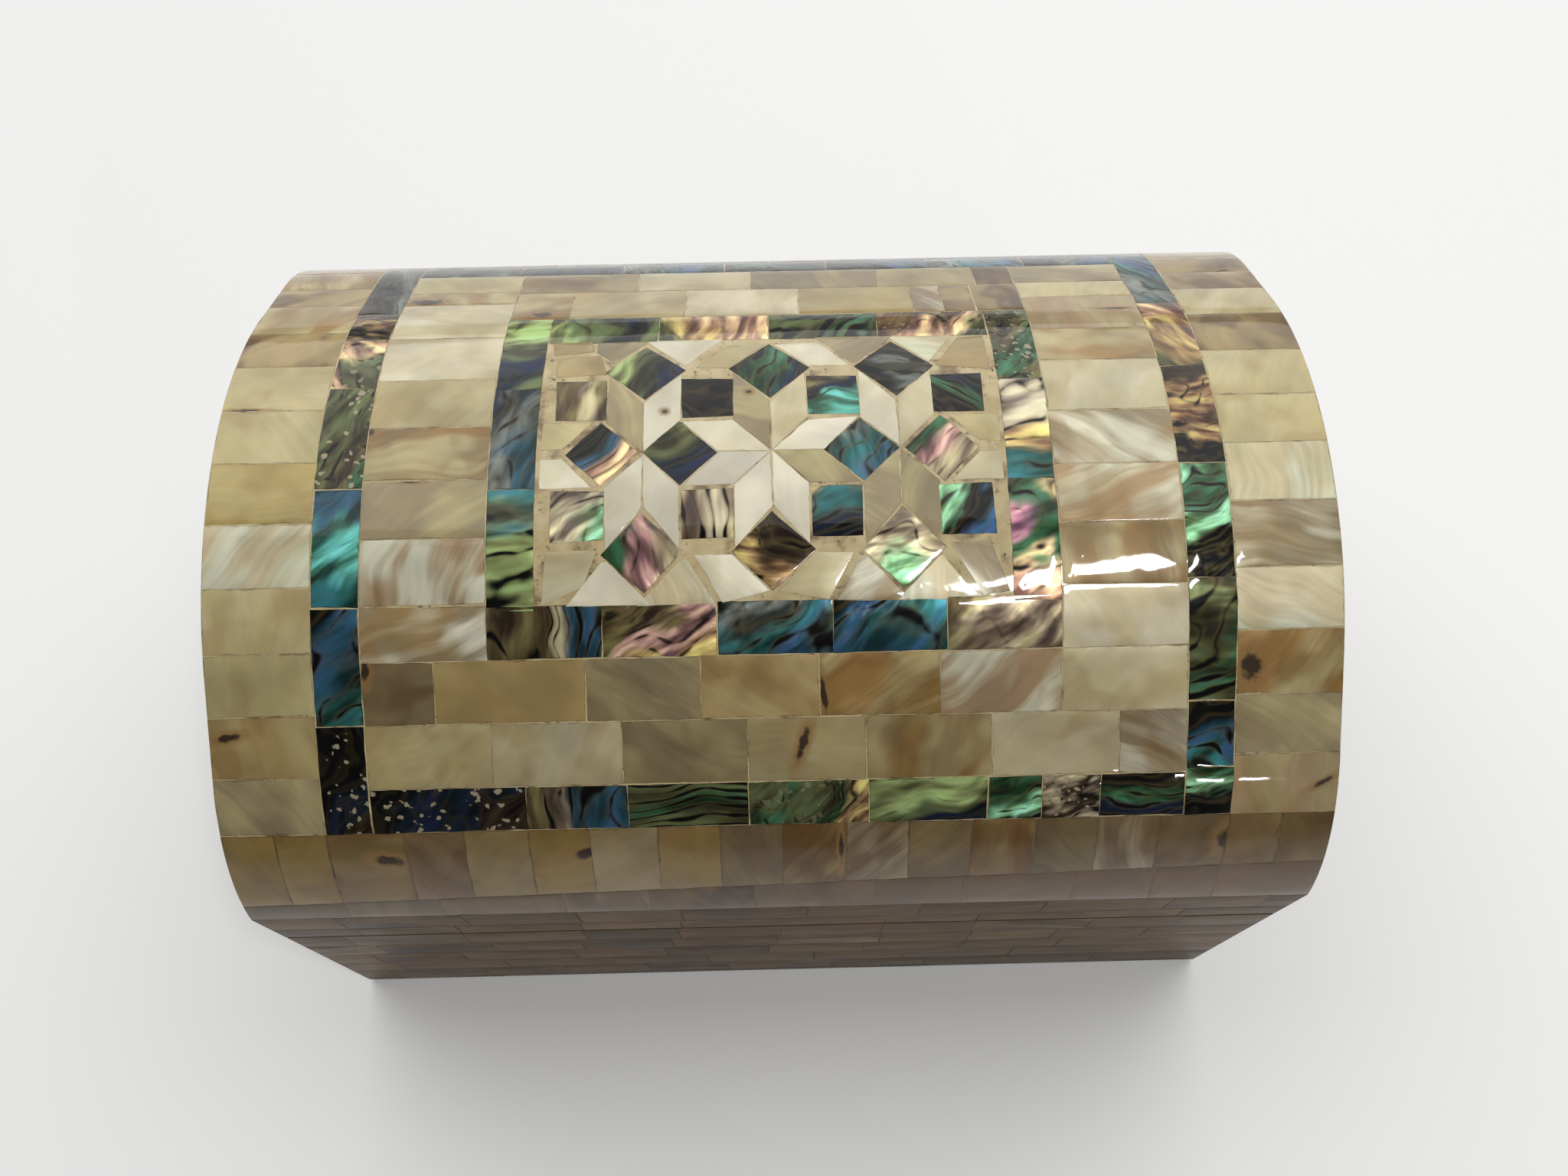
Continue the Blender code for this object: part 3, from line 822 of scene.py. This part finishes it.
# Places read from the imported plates
BAND_OUT_X = spans("outer_abalone_band")[0][1]
BAND_OUT_ARC = spans("outer_abalone_band")[1][1]
BAND_IN_X = spans("pearl_field")[0][1]
BAND_IN_ARC = spans("pearl_field")[1][1]
FRAME_OUT_X = spans("inner_band_right_1")[0][1]
PANEL_X = spans("star_panel")[0][1]
PANEL_ARC = spans("star_panel")[1][1]
FRAME_OUT_ARC = spans("inner_band_front_1")[1][1]

# Joints across the end columns, from the back edge to the front edge, and the tiles between
LEFT_ROWS = (-57.8, -48.5, -40.8, -29.7, -19.8, -9.6, 0.5, 10.9, 21.1, 31.4, 41.3, 51.3, 60.9)
LEFT_KINDS = (
    "sand", "ochre", "brown", "streaked", "brown", "cream", "cream",
    "straw", "bright", "cream", "cream", "sand", "grey", "straw",
)
RIGHT_ROWS = (-57.5, -48.5, -40.8, -30.1, -19.1, -8.9, 0.5, 10.5, 21.1, 30.9, 41.2, 50.8, 61.3)
RIGHT_KINDS = (
    "sand", "brown", "brown", "cream", "brown", "cream", "cream",
    "bright", "silk", "bright", "ochre", "grey", "pink", "sand",
)
SQUARES = (-59.9, -50.4, -40.2, -30.4, -19.6, -9.5, 0.4, 10.7, 20.8, 30.9, 41.0, 51.1, 61.0)
SQUARE_KINDS = (
    "sand", "dusk", "cream", "straw", "ivory", "straw", "grey",
    "ochre", "silk", "grey", "ochre", "grey", "silk", "dusk",
)
CORNER_SQUARE = 80.6
WALL_KINDS = (
    "dusk", "dusk", "pink", "pink", "sand", "sand", "grey", "grey", "streaked", "brown", "smoke", "silk"
)
# Painted shade: how much darker the squares and the long tiles below them are painted than the dome's other
# pearl tiles, as these steep rows get less light
SQUARES_PAINTED_SHADE = (0.5, 0.42, 0.34)
RIM_PAINTED_SHADE = (0.33, 0.25, 0.18)
# The same painted shade for the field's rows near the front and the back edge
NEAR_ROW_PAINTED_SHADE = (0.94, 0.92, 0.9)
FAR_ROW_PAINTED_SHADE = (0.77, 0.74, 0.7)
# Arc lengths, at the left and at the right end of the box, of the lines along the edge rows
SQUARES_START = (BAND_OUT_ARC, BAND_OUT_ARC)
SQUARES_END = (77.0, 71.2)
DOME_EDGE = (DOME_HALF - GAP / 2, DOME_HALF - GAP / 2)

# Joints of the outer band, with the kind that follows each
BAND_LEFT = (
    (-61.1, "arch"), (-36.5, "bark"), (-27.0, "copper"), (-14.3, "mottled"), (5.3, "lagoon"),
    (24.4, "royal"), (43.1, "froth"),
)
BAND_RIGHT = (
    (-61.1, "slate"), (-34.8, "amber"), (-15.6, "bark"), (3.9, "emerald"), (22.6, "waves"),
    (42.0, "royal"), (52.9, "emerald"),
)
BAND_FRONT = (
    (-64.6, "froth"), (-40.0, "ashes"), (-23.9, "waves"), (-4.8, "meadow"), (14.4, "fern"),
    (33.2, "emerald"), (41.9, "crumbly"), (51.1, "loops"),
)
BAND_BACK = (
    (-64.6, "arch"), (-46.0, "night"), (-27.0, "slate"), (-8.0, "loops"), (11.0, "night"),
    (30.0, "slate"), (48.0, "deep"),
)

# Angles of the growth lines in the outer band; the other kinds lie as chance has it
BAND_TURNS = {
    "bark": 0, "waves": 0, "loops": 0, "fern": 10, "emerald": 20,
    "royal": 40, "lagoon": 40, "meadow": 45, "ashes": 90,
}

# Joints of the pearl field, with the kind that follows each
FIELD_LEFT = (
    (-53.6, "cream"), (-45.7, "streaked"), (-40.1, "ivory"), (-27.1, "ivory"), (-15.7, "cream"),
    (-5.6, "ochre"), (4.1, "grey"), (13.8, "shiny"), (24.4, "silk"),
)
FIELD_RIGHT = (
    (-53.6, "grey"), (-45.3, "cream"), (-38.5, "pink"), (-26.3, "streaked"), (-17.5, "ivory"),
    (-6.4, "silk"), (3.6, "shiny"), (13.3, "streaked"), (23.2, "ivory"),
)
FIELD_FRONT_NEAR = (
    (-64.6, "smoke"), (-53.3, "filler"), (-29.8, "grey"), (-11.8, "sand"), (6.7, "ochre"),
    (25.7, "shiny"), (44.8, "ivory"),
)
FIELD_FRONT_FAR = (
    (-64.6, "cream"), (-44.9, "ivory"), (-24.5, "grey"), (-4.7, "cream"), (14.0, "streaked"),
    (33.9, "ivory"), (53.9, "silk"),
)
FIELD_BACK_NEAR = (
    (-44.9, "streaked"), (-34.6, "cream"), (-14.5, "ivory"), (5.4, "straw"), (25.5, "silk"),
    (30.9, "brown"), (36.5, "brown"),
)
FIELD_BACK_FAR = (
    (-44.9, "streaked"), (-23.5, "ivory"), (-3.0, "grey"), (20.2, "cream"), (37.9, "brown"),
)
FIELD_SPLIT_FRONT = 43.2
FIELD_SPLIT_BACK = 44.8

# Kinds of the single abalone tiles, and the angle of their growth lines
INNER_BAND = {
    "left_1": ("fern", 10), "left_2": ("deep", 70), "left_3": ("tide", 5),
    "right_1": ("mottled", 60), "right_2": ("rainbow", 5), "right_3": ("orchid", 30),
    "back_1": ("fern", 70), "back_2": ("amber", 80), "back_3": ("waves", 60), "back_4": ("copper", 70),
    "front_1": ("ashes", 90), "front_2": ("rose", 30), "front_3": ("slate", 35),
    "front_4": ("royal", 45), "front_5": ("olive", 40),
}
SQUARE_TILES = (
    ("arch", 20), ("stripes", 90), ("glint", 0), ("reed", 10),
    ("olive", 80), ("pearl", 40), ("loops", 130), ("mint", 60),
)
DIAMOND_TILES = (
    ("fern", 20), ("slate", 100), ("dusk", 45), ("dawn", 60), ("loops", 80),
    ("flame", 0), ("fern", 60), ("dawn", 110), ("arch", 0), ("pearl", 10),
)

# Star pattern, in edges of a star's rhombus
HALF_DIAGONAL = math.sqrt(0.5)
STRETCH = 1.13
EDGE_DIAMOND_GROWTH = 1.11
EDGES_TO_PANEL_SIDE = 4.4
EDGES_TO_PANEL_FRONT = 3.03
EDGE_X = PANEL_X / EDGES_TO_PANEL_SIDE
EDGE_ARC = PANEL_ARC / EDGES_TO_PANEL_FRONT
SIDE_STAR = 1 + 2 * HALF_DIAGONAL
SQUARE_OUTLINE = ((-0.5, -0.5), (0.5, -0.5), (0.5, 0.5), (-0.5, 0.5))
DIAMOND_OUTLINE = ((0, -HALF_DIAGONAL), (HALF_DIAGONAL, 0), (0, HALF_DIAGONAL), (-HALF_DIAGONAL, 0))
# Corners of the pearl pieces along the back and front edge of the panel, from the upper left one
EDGE_PIECES = (
    ("sand", ((-4.3, -2.98), (-3.5, -2.98), (-3.45, -2.62), (-4.25, -2.5))),
    ("grey", ((-3.4, -2.98), (-2.3, -2.98), (-3.0, -2.24), (-3.4, -2.6))),
    ("sand", ((-4.2, -2.42), (-3.3, -2.5), (-3.15, -1.92), (-4.15, -1.86))),
    ("chalk", ((-2.52, -2.98), (-0.86, -2.98), (-1.58, -2.14), (-1.66, -2.12))),
    ("cream", ((-0.8, -2.76), (-0.06, -2.76), (-0.76, -2.04), (-1.46, -2.04))),
    ("chalk", ((0.06, -2.76), (0.96, -2.8), (1.58, -2.04), (0.76, -2.04))),
    ("grey", ((0.9, -2.98), (2.52, -2.98), (1.72, -2.12), (1.6, -2.12))),
    ("bright", ((2.3, -2.98), (3.7, -2.98), (3.16, -2.16), (3.1, -2.12))),
    ("sand", ((3.78, -2.9), (4.3, -2.9), (4.3, -1.85), (3.24, -1.98))),
    ("ivory", ((-4.2, 1.9), (-3.24, 1.9), (-3.5, 2.6), (-4.3, 2.96))),
    ("chalk", ((-3.16, 2.14), (-3.08, 2.12), (-2.24, 2.98), (-3.86, 2.98))),
    ("bright", ((-1.74, 2.14), (-1.6, 2.12), (-1.08, 2.98), (-2.56, 2.98))),
    ("chalk", ((-1.5, 2.04), (-0.76, 2.04), (-0.06, 2.74), (-0.96, 2.96))),
    ("ivory", ((0.76, 2.04), (1.5, 2.04), (1.02, 2.94), (0.06, 2.76))),
    ("silk", ((1.6, 2.14), (1.72, 2.12), (2.56, 2.98), (1.12, 2.98))),
    ("bright", ((3.06, 2.14), (3.14, 2.14), (3.76, 2.98), (2.24, 2.98))),
    ("silk", ((3.24, 1.9), (4.0, 1.9), (4.34, 2.86), (3.84, 2.92))),
)


def tile_row(skin, joints, end, low, high, kinds, rng, upright, painted_shade=NO_PAINTED_SHADE):
    """Tiles between joints along u, or along v where upright, all from low to high across."""
    for number, (start, kind) in enumerate(joints):
        stop = joints[number + 1][0] if number + 1 < len(joints) else end
        corners = rectangle(low, start, high, stop) if upright else rectangle(start, low, stop, high)
        add_kind(skin, corners, kinds, kind, rng, BAND_TURNS.get(kind), painted_shade=painted_shade)


def line_at(ends, x):
    """Arc length at this x of a line that runs from one end of the box to the other."""
    share = (x + HALF_LENGTH) / 2 / HALF_LENGTH
    return ends[0] + (ends[1] - ends[0]) * share


def add_edge_tile(skin, left, right, side, near, far, kind, painted_shade, rng):
    """A tile of the front row, or of the back row where side is -1, between two sloping lines."""
    upper = [(left, line_at(near, left)), (right, line_at(near, right))]
    lower = [(right, line_at(far, right)), (left, line_at(far, left))]
    corners = upper + lower
    if side < 0:
        corners = [(x, -arc) for x, arc in reversed(corners)]
    add_kind(skin, corners, PEARLS, kind, rng, loose=EDGE_ROW_LOOSE, painted_shade=painted_shade)


def add_square(skin, left, right, side, kind, rng):
    add_edge_tile(skin, left, right, side, SQUARES_START, SQUARES_END, kind, SQUARES_PAINTED_SHADE, rng)


def add_rim_tiles(skin, left, right, side, rng):
    """Long tiles between the squares and the dome's edge."""
    start = left
    while start < right - 0.5:
        stop = start + rng.uniform(13, 21)
        if right - stop < 6:
            stop = right
        kind = "putty" if side * start > 0 else rng.choice(WALL_KINDS)
        add_edge_tile(skin, start, stop, side, SQUARES_END, DOME_EDGE, kind, RIM_PAINTED_SHADE, rng)
        start = stop


def build_end_column(word, side, rows, kinds):
    skin = Skin()
    rng = random.Random("end column " + word)
    outer, inner = side * HALF_LENGTH, side * BAND_OUT_X
    left, right = min(outer, inner), max(outer, inner)
    add_bed(skin, on_dome, rectangle(left, -DOME_HALF, right, 0), (MITRE, 0))
    add_bed(skin, on_dome, rectangle(left, 0, right, BAND_OUT_ARC))
    add_bed(skin, on_dome, rectangle(left, BAND_OUT_ARC, right, DOME_HALF), (0, MITRE), look=PAINTED_SHADE_BED_LOOK)
    joints = list(zip(rows[:-1], kinds[1:-1]))
    tile_row(skin, joints, rows[-1], left, right, PEARLS, rng, True)
    corner = side * CORNER_SQUARE
    for start, stop in ((left, corner), (corner, right)):
        add_square(skin, start, stop, 1, kinds[-1], rng)
    add_kind(skin, rectangle(left, -line_at(SQUARES_END, 0), right, rows[0]), PEARLS, kinds[0], rng)
    add_rim_tiles(skin, left, right, 1, rng)
    add_rim_tiles(skin, left, right, -1, rng)
    name = "dome_" + word + "_column"
    place_piece(name + "_tiles", skin, PEARL_SHELL, [name])


def build_edge_row(word, side):
    skin = Skin()
    rng = random.Random("edge row " + word)
    edges = (-DOME_HALF, -BAND_OUT_ARC) if side < 0 else (BAND_OUT_ARC, DOME_HALF)
    lean = (MITRE, 0) if side < 0 else (0, MITRE)
    add_bed(skin, on_dome, rectangle(-BAND_OUT_X, edges[0], BAND_OUT_X, edges[1]), lean, look=PAINTED_SHADE_BED_LOOK)
    joints = (-BAND_OUT_X,) + SQUARES + (BAND_OUT_X,)
    for number, kind in enumerate(SQUARE_KINDS):
        add_square(skin, joints[number], joints[number + 1], side, kind, rng)
    add_rim_tiles(skin, -BAND_OUT_X, BAND_OUT_X, side, rng)
    name = "dome_" + word + "_row"
    place_piece(name + "_tiles", skin, PEARL_SHELL, [name])


def add_ring_beds(skin, outer, inner):
    """Filler of a closed frame: outer and inner are (half width, half arc)."""
    add_bed(skin, on_dome, rectangle(-outer[0], -outer[1], outer[0], -inner[1]))
    add_bed(skin, on_dome, rectangle(-outer[0], inner[1], outer[0], outer[1]))
    add_bed(skin, on_dome, rectangle(-outer[0], -inner[1], -inner[0], inner[1]))
    add_bed(skin, on_dome, rectangle(inner[0], -inner[1], outer[0], inner[1]))


def build_outer_band():
    skin = Skin()
    rng = random.Random("outer band")
    add_ring_beds(skin, (BAND_OUT_X, BAND_OUT_ARC), (BAND_IN_X, BAND_IN_ARC))
    tile_row(skin, BAND_LEFT, BAND_OUT_ARC, -BAND_OUT_X, -BAND_IN_X, ABALONES, rng, True)
    tile_row(skin, BAND_RIGHT, BAND_OUT_ARC, BAND_IN_X, BAND_OUT_X, ABALONES, rng, True)
    tile_row(skin, BAND_FRONT, BAND_IN_X, BAND_IN_ARC, BAND_OUT_ARC, ABALONES, rng, False)
    tile_row(skin, BAND_BACK, BAND_IN_X, -BAND_OUT_ARC, -BAND_IN_ARC, ABALONES, rng, False)
    place_piece("outer_band_tiles", skin, ABALONE_SHELL, ["outer_abalone_band"])


def build_pearl_field():
    skin = Skin()
    rng = random.Random("pearl field")
    add_ring_beds(skin, (BAND_IN_X, BAND_IN_ARC), (FRAME_OUT_X, FRAME_OUT_ARC))
    tile_row(skin, FIELD_LEFT, FRAME_OUT_ARC, -BAND_IN_X, -FRAME_OUT_X, PEARLS, rng, True)
    tile_row(skin, FIELD_RIGHT, FRAME_OUT_ARC, FRAME_OUT_X, BAND_IN_X, PEARLS, rng, True)
    for joints, end, low, high, painted_shade in (
        (FIELD_FRONT_NEAR, BAND_IN_X, FRAME_OUT_ARC, FIELD_SPLIT_FRONT, NEAR_ROW_PAINTED_SHADE),
        (FIELD_FRONT_FAR, BAND_IN_X, FIELD_SPLIT_FRONT, BAND_IN_ARC, FAR_ROW_PAINTED_SHADE),
        (FIELD_BACK_NEAR, FRAME_OUT_X, -FIELD_SPLIT_BACK, -FRAME_OUT_ARC, NEAR_ROW_PAINTED_SHADE),
        (FIELD_BACK_FAR, FRAME_OUT_X, -BAND_IN_ARC, -FIELD_SPLIT_BACK, FAR_ROW_PAINTED_SHADE),
    ):
        tile_row(skin, joints, end, low, high, PEARLS, rng, False, painted_shade)
    place_piece("pearl_field_tiles", skin, PEARL_SHELL, ["pearl_field"])


def build_inner_band():
    for word, (kind, turn) in INNER_BAND.items():
        skin = Skin()
        rng = random.Random("inner band " + word)
        name = "inner_band_" + word
        (left, right), (upper, lower) = spans(name)
        add_bed(skin, on_dome, rectangle(left, upper, right, lower))
        add_kind(skin, rectangle(left, upper, right, lower), ABALONES, kind, rng, turn)
        place_piece(name + "_tile", skin, ABALONE_SHELL, [name])


def star_place(spot):
    """Place on the dome of a spot given in star edges."""
    return Vector((spot[0] * EDGE_X, spot[1] * EDGE_ARC))


def stretch(spot):
    """A corner of a rhombus, drawn out towards the diamonds behind and in front of the star."""
    return Vector((spot.x, spot.y * (STRETCH if abs(spot.y) > 0.9 else 1)))


def edge_towards(number):
    """An edge of a star's rhombus, turned by that number of eighths."""
    angle = number * math.pi / 4
    return Vector((math.cos(angle), math.sin(angle)))


def star_rhombi():
    """Corners of the central star's eight rhombi and of the side stars' four each."""
    stars = [((0, 0), range(8)), ((-SIDE_STAR, 0), (1, 2, 5, 6)), ((SIDE_STAR, 0), (1, 2, 5, 6))]
    for centre, numbers in stars:
        for number in numbers:
            middle = Vector(centre)
            first = edge_towards(number)
            second = edge_towards(number + 1)
            yield [stretch(middle + step) for step in (Vector((0, 0)), first, first + second, second)]


def side_pieces():
    """Corners of the pieces between a cut square, a cut diamond and the panel's side."""
    for side in (-1, 1):
        for end in (-1, 1):
            outline = [(4.34, 0.08), (4.34, 0.72), (3.34, 0.72), (3.92, 0.1)]
            corners = [Vector((side * x, end * arc)) for x, arc in outline]
            yield corners if side * end > 0 else list(reversed(corners))


def panel_pearls(rng):
    """Kind, corners and looseness of each pearl piece of the star panel."""
    for corners in star_rhombi():
        yield rng.choice(("chalk", "chalk", "chalk", "ivory", "grey")), corners, STAR_LOOSE
    for corners in side_pieces():
        yield rng.choice(("chalk", "ivory", "cream")), corners, LOOSE
    for kind, corners in EDGE_PIECES:
        yield kind, corners, LOOSE


def build_star_panel():
    skin = Skin()
    rng = random.Random("star panel")
    add_bed(skin, on_dome, rectangle(-PANEL_X, -PANEL_ARC, PANEL_X, PANEL_ARC))
    for kind, corners, loose in panel_pearls(rng):
        add_kind(skin, [star_place(spot) for spot in corners], PEARLS, kind, rng, loose=loose)
    place_piece("star_panel_pearls", skin, PEARL_SHELL, ["star_panel"])


def build_star_tiles():
    """The abalone squares and diamonds of the star panel, each a piece of its own."""
    for word, kinds in (("square", SQUARE_TILES), ("diamond", DIAMOND_TILES)):
        for number, (kind, turn) in enumerate(kinds, start=1):
            name = "star_" + word + "_" + str(number)
            (left, right), (upper, lower) = spans(name)
            middle = Vector(((left + right) / 2 / EDGE_X, (upper + lower) / 2 / EDGE_ARC))
            outline = SQUARE_OUTLINE if word == "square" else DIAMOND_OUTLINE
            growth = EDGE_DIAMOND_GROWTH if abs(middle.y) > 1.9 else 1
            corners = [star_place(middle + Vector(corner) * growth) for corner in outline]
            skin = Skin()
            rng = random.Random(name)
            add_kind(skin, corners, ABALONES, kind, rng, turn, ABALONE_LOOSE)
            place_piece(name + "_tile", skin, ABALONE_SHELL, [name])


def wall_tiles(rng, half_width, top, bottom):
    """Outlines of long tiles in rows, in broken bond, from top down to bottom."""
    upper = top
    while upper < bottom - 0.5:
        lower = min(upper + ROW, bottom)
        left = -half_width
        start = rng.uniform(6, 19)
        while left < half_width - 0.5:
            right = left + start
            if half_width - right < 4:
                right = half_width
            yield rectangle(left, upper, right, lower)
            left = right
            start = rng.uniform(16, 22)
        upper = lower


def build_wall(name, wrap, half_width, top, bottom, lean):
    skin = Skin()
    rng = random.Random(name)
    bed = rectangle(-half_width, top, half_width, bottom)
    add_bed(skin, wrap, bed, lean, WALL_STEP, WALL_PAINTED_SHADE_BED_LOOK)
    for corners in wall_tiles(rng, half_width, top, bottom):
        look = make_look(PEARLS, rng.choice(WALL_KINDS), rng)
        turn = rng.uniform(-WALL_TURN, WALL_TURN)
        add_tile(skin, wrap, corners, look, rng, WALL_STEP, turn)
    place_piece(name + "_tiles", skin, WALL_SHELL_PAINTED_SHADE, [name])


def end_outline(inset, bottom):
    """Outline of a round-topped end, set in from its edges, with v down."""
    half = HALF_DEPTH - inset
    count = 40
    arch = []
    for number in range(count + 1):
        arc = -DOME_HALF + 2 * DOME_HALF * number / count
        spot = on_dome(0, arc, inset)
        arch.append(Vector((-spot.y, HEIGHT - spot.z)))
    inside = [spot for spot in arch if abs(spot.x) < half - 0.3]
    shoulder = HEIGHT - WALL_TOP + inset * MITRE
    outline = [Vector((-half, shoulder))] + inside + [Vector((half, shoulder))]
    return outline + [Vector((half, bottom)), Vector((-half, bottom))]


def build_lid_end(name, wrap):
    """An end of the lid: rows of tiles cut to the arch."""
    skin = Skin()
    rng = random.Random(name)
    bottom = HEIGHT - BODY_HEIGHT - SEAM / 2
    inset = MOSAIC + GAP
    bed = end_outline(inset, bottom)
    add_slab(skin, wrap, bed, WALL_PAINTED_SHADE_BED_LOOK, random.Random(0), BED, BED_DEPTHS)
    fence = end_outline(inset + JOINT / 2, bottom)
    top = inset + (bottom - inset) % ROW - ROW
    for corners in wall_tiles(rng, HALF_DEPTH - inset, top, bottom):
        outline = clip(shrink([Vector(corner) for corner in corners], JOINT / 2), fence)
        outline = thin_out(outline, 0.5)
        look = make_look(PEARLS, rng.choice(WALL_KINDS), rng)
        if len(outline) > 2:
            add_slab(skin, wrap, outline, look, rng, SHELL, TILE_DEPTHS, SLAB_WAVER)
    place_piece(name + "_tiles", skin, WALL_SHELL_PAINTED_SHADE, [name])


def build_walls():
    body_top = HEIGHT - BODY_HEIGHT + SEAM / 2
    body_bottom = HEIGHT - BASE_LIFT
    lid_bottom = HEIGHT - BODY_HEIGHT - SEAM / 2
    lid_top = HEIGHT - WALL_TOP
    end_half = HALF_DEPTH - MOSAIC - GAP
    for word, wrap in (("front", on_front), ("back", on_back)):
        build_wall("body_" + word + "_mosaic", wrap, HALF_LENGTH, body_top, body_bottom, (0, 0))
        build_wall("lid_" + word + "_mosaic", wrap, HALF_LENGTH, lid_top, lid_bottom, (MITRE, 0))
    for word, wrap in (("left", on_left), ("right", on_right)):
        build_wall("body_" + word + "_mosaic", wrap, end_half, body_top, body_bottom, (0, 0))
        build_lid_end("lid_" + word + "_mosaic", wrap)


def dress_cases():
    """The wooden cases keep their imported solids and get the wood."""
    for name in ("body_case", "lid_case"):
        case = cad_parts[name]
        case.data.materials.clear()
        case.data.materials.append(WOOD)


# Camera of the photograph, in metres and degrees
CAMERA_PLACE = (-0.0002, -0.1078, 0.3054)
CAMERA_TURN = (23.63, 0.09, -1.36)
CAMERA_LENS = 31.46
SENSOR = 36.0
# Where the lights point, and half the floor's width
BOX_MIDDLE = Vector((0, 0, 0.08))
FLOOR_HALF = 3.0


def add_camera():
    lens = bpy.data.cameras.new("camera")
    lens.lens = CAMERA_LENS
    lens.sensor_width = SENSOR
    lens.clip_start = 0.01
    camera = bpy.data.objects.new("camera", lens)
    camera.location = CAMERA_PLACE
    camera.rotation_euler = [math.radians(angle) for angle in CAMERA_TURN]
    bpy.context.scene.collection.objects.link(camera)
    bpy.context.scene.camera = camera


def add_area_light(name, place, size, power, along=(1, 0, 0)):
    """A soft light that looks at the box, with its width along a given direction."""
    light = bpy.data.lights.new(name, "AREA")
    light.shape = "RECTANGLE"
    light.size, light.size_y = size
    light.energy = power
    lamp = bpy.data.objects.new(name, light)
    backward = (Vector(place) - BOX_MIDDLE).normalized()
    upward = backward.cross(Vector(along)).normalized()
    sideways = upward.cross(backward)
    turn = Matrix((sideways, upward, backward)).transposed()
    lamp.location = place
    lamp.rotation_euler = turn.to_euler()
    bpy.context.scene.collection.objects.link(lamp)


def add_studio():
    """A plain pale floor and soft white light from above."""
    shader = Shader("floor")
    shader.put(shader.surface.inputs["Base Color"], (0.92, 0.92, 0.91, 1))
    shader.put(shader.surface.inputs["Roughness"], 0.8)
    mesh = bpy.data.meshes.new("floor")
    corners = [(x * FLOOR_HALF, y * FLOOR_HALF, 0) for x, y in ((-1, -1), (1, -1), (1, 1), (-1, 1))]
    mesh.from_pydata(corners, [], [(0, 1, 2, 3)])
    mesh.materials.append(shader.material)
    floor = bpy.data.objects.new("floor", mesh)
    bpy.context.scene.collection.objects.link(floor)
    world = bpy.data.worlds.new("studio")
    world.use_nodes = True
    background = world.node_tree.nodes["Background"]
    background.inputs["Color"].default_value = (1.0, 1.0, 1.0, 1)
    background.inputs["Strength"].default_value = 0.12
    bpy.context.scene.world = world
    add_area_light("overhead", (0.0, 1.4, 1.6), (4.5, 3.4), 74)
    add_area_light("window", (0.275, -0.295, 1.14), (0.26, 0.07), 3.8, (0.7, 0.72, 0))
    add_area_light("lamp", (0.381, -0.86, 0.58), (0.06, 0.02), 0.35)


build_end_column("left", -1, LEFT_ROWS, LEFT_KINDS)
build_end_column("right", 1, RIGHT_ROWS, RIGHT_KINDS)
build_edge_row("back", -1)
build_edge_row("front", 1)
build_outer_band()
build_pearl_field()
build_inner_band()
build_star_panel()
build_star_tiles()
build_walls()
dress_cases()
add_camera()
add_studio()
bpy.context.scene.view_settings.view_transform = "Standard"
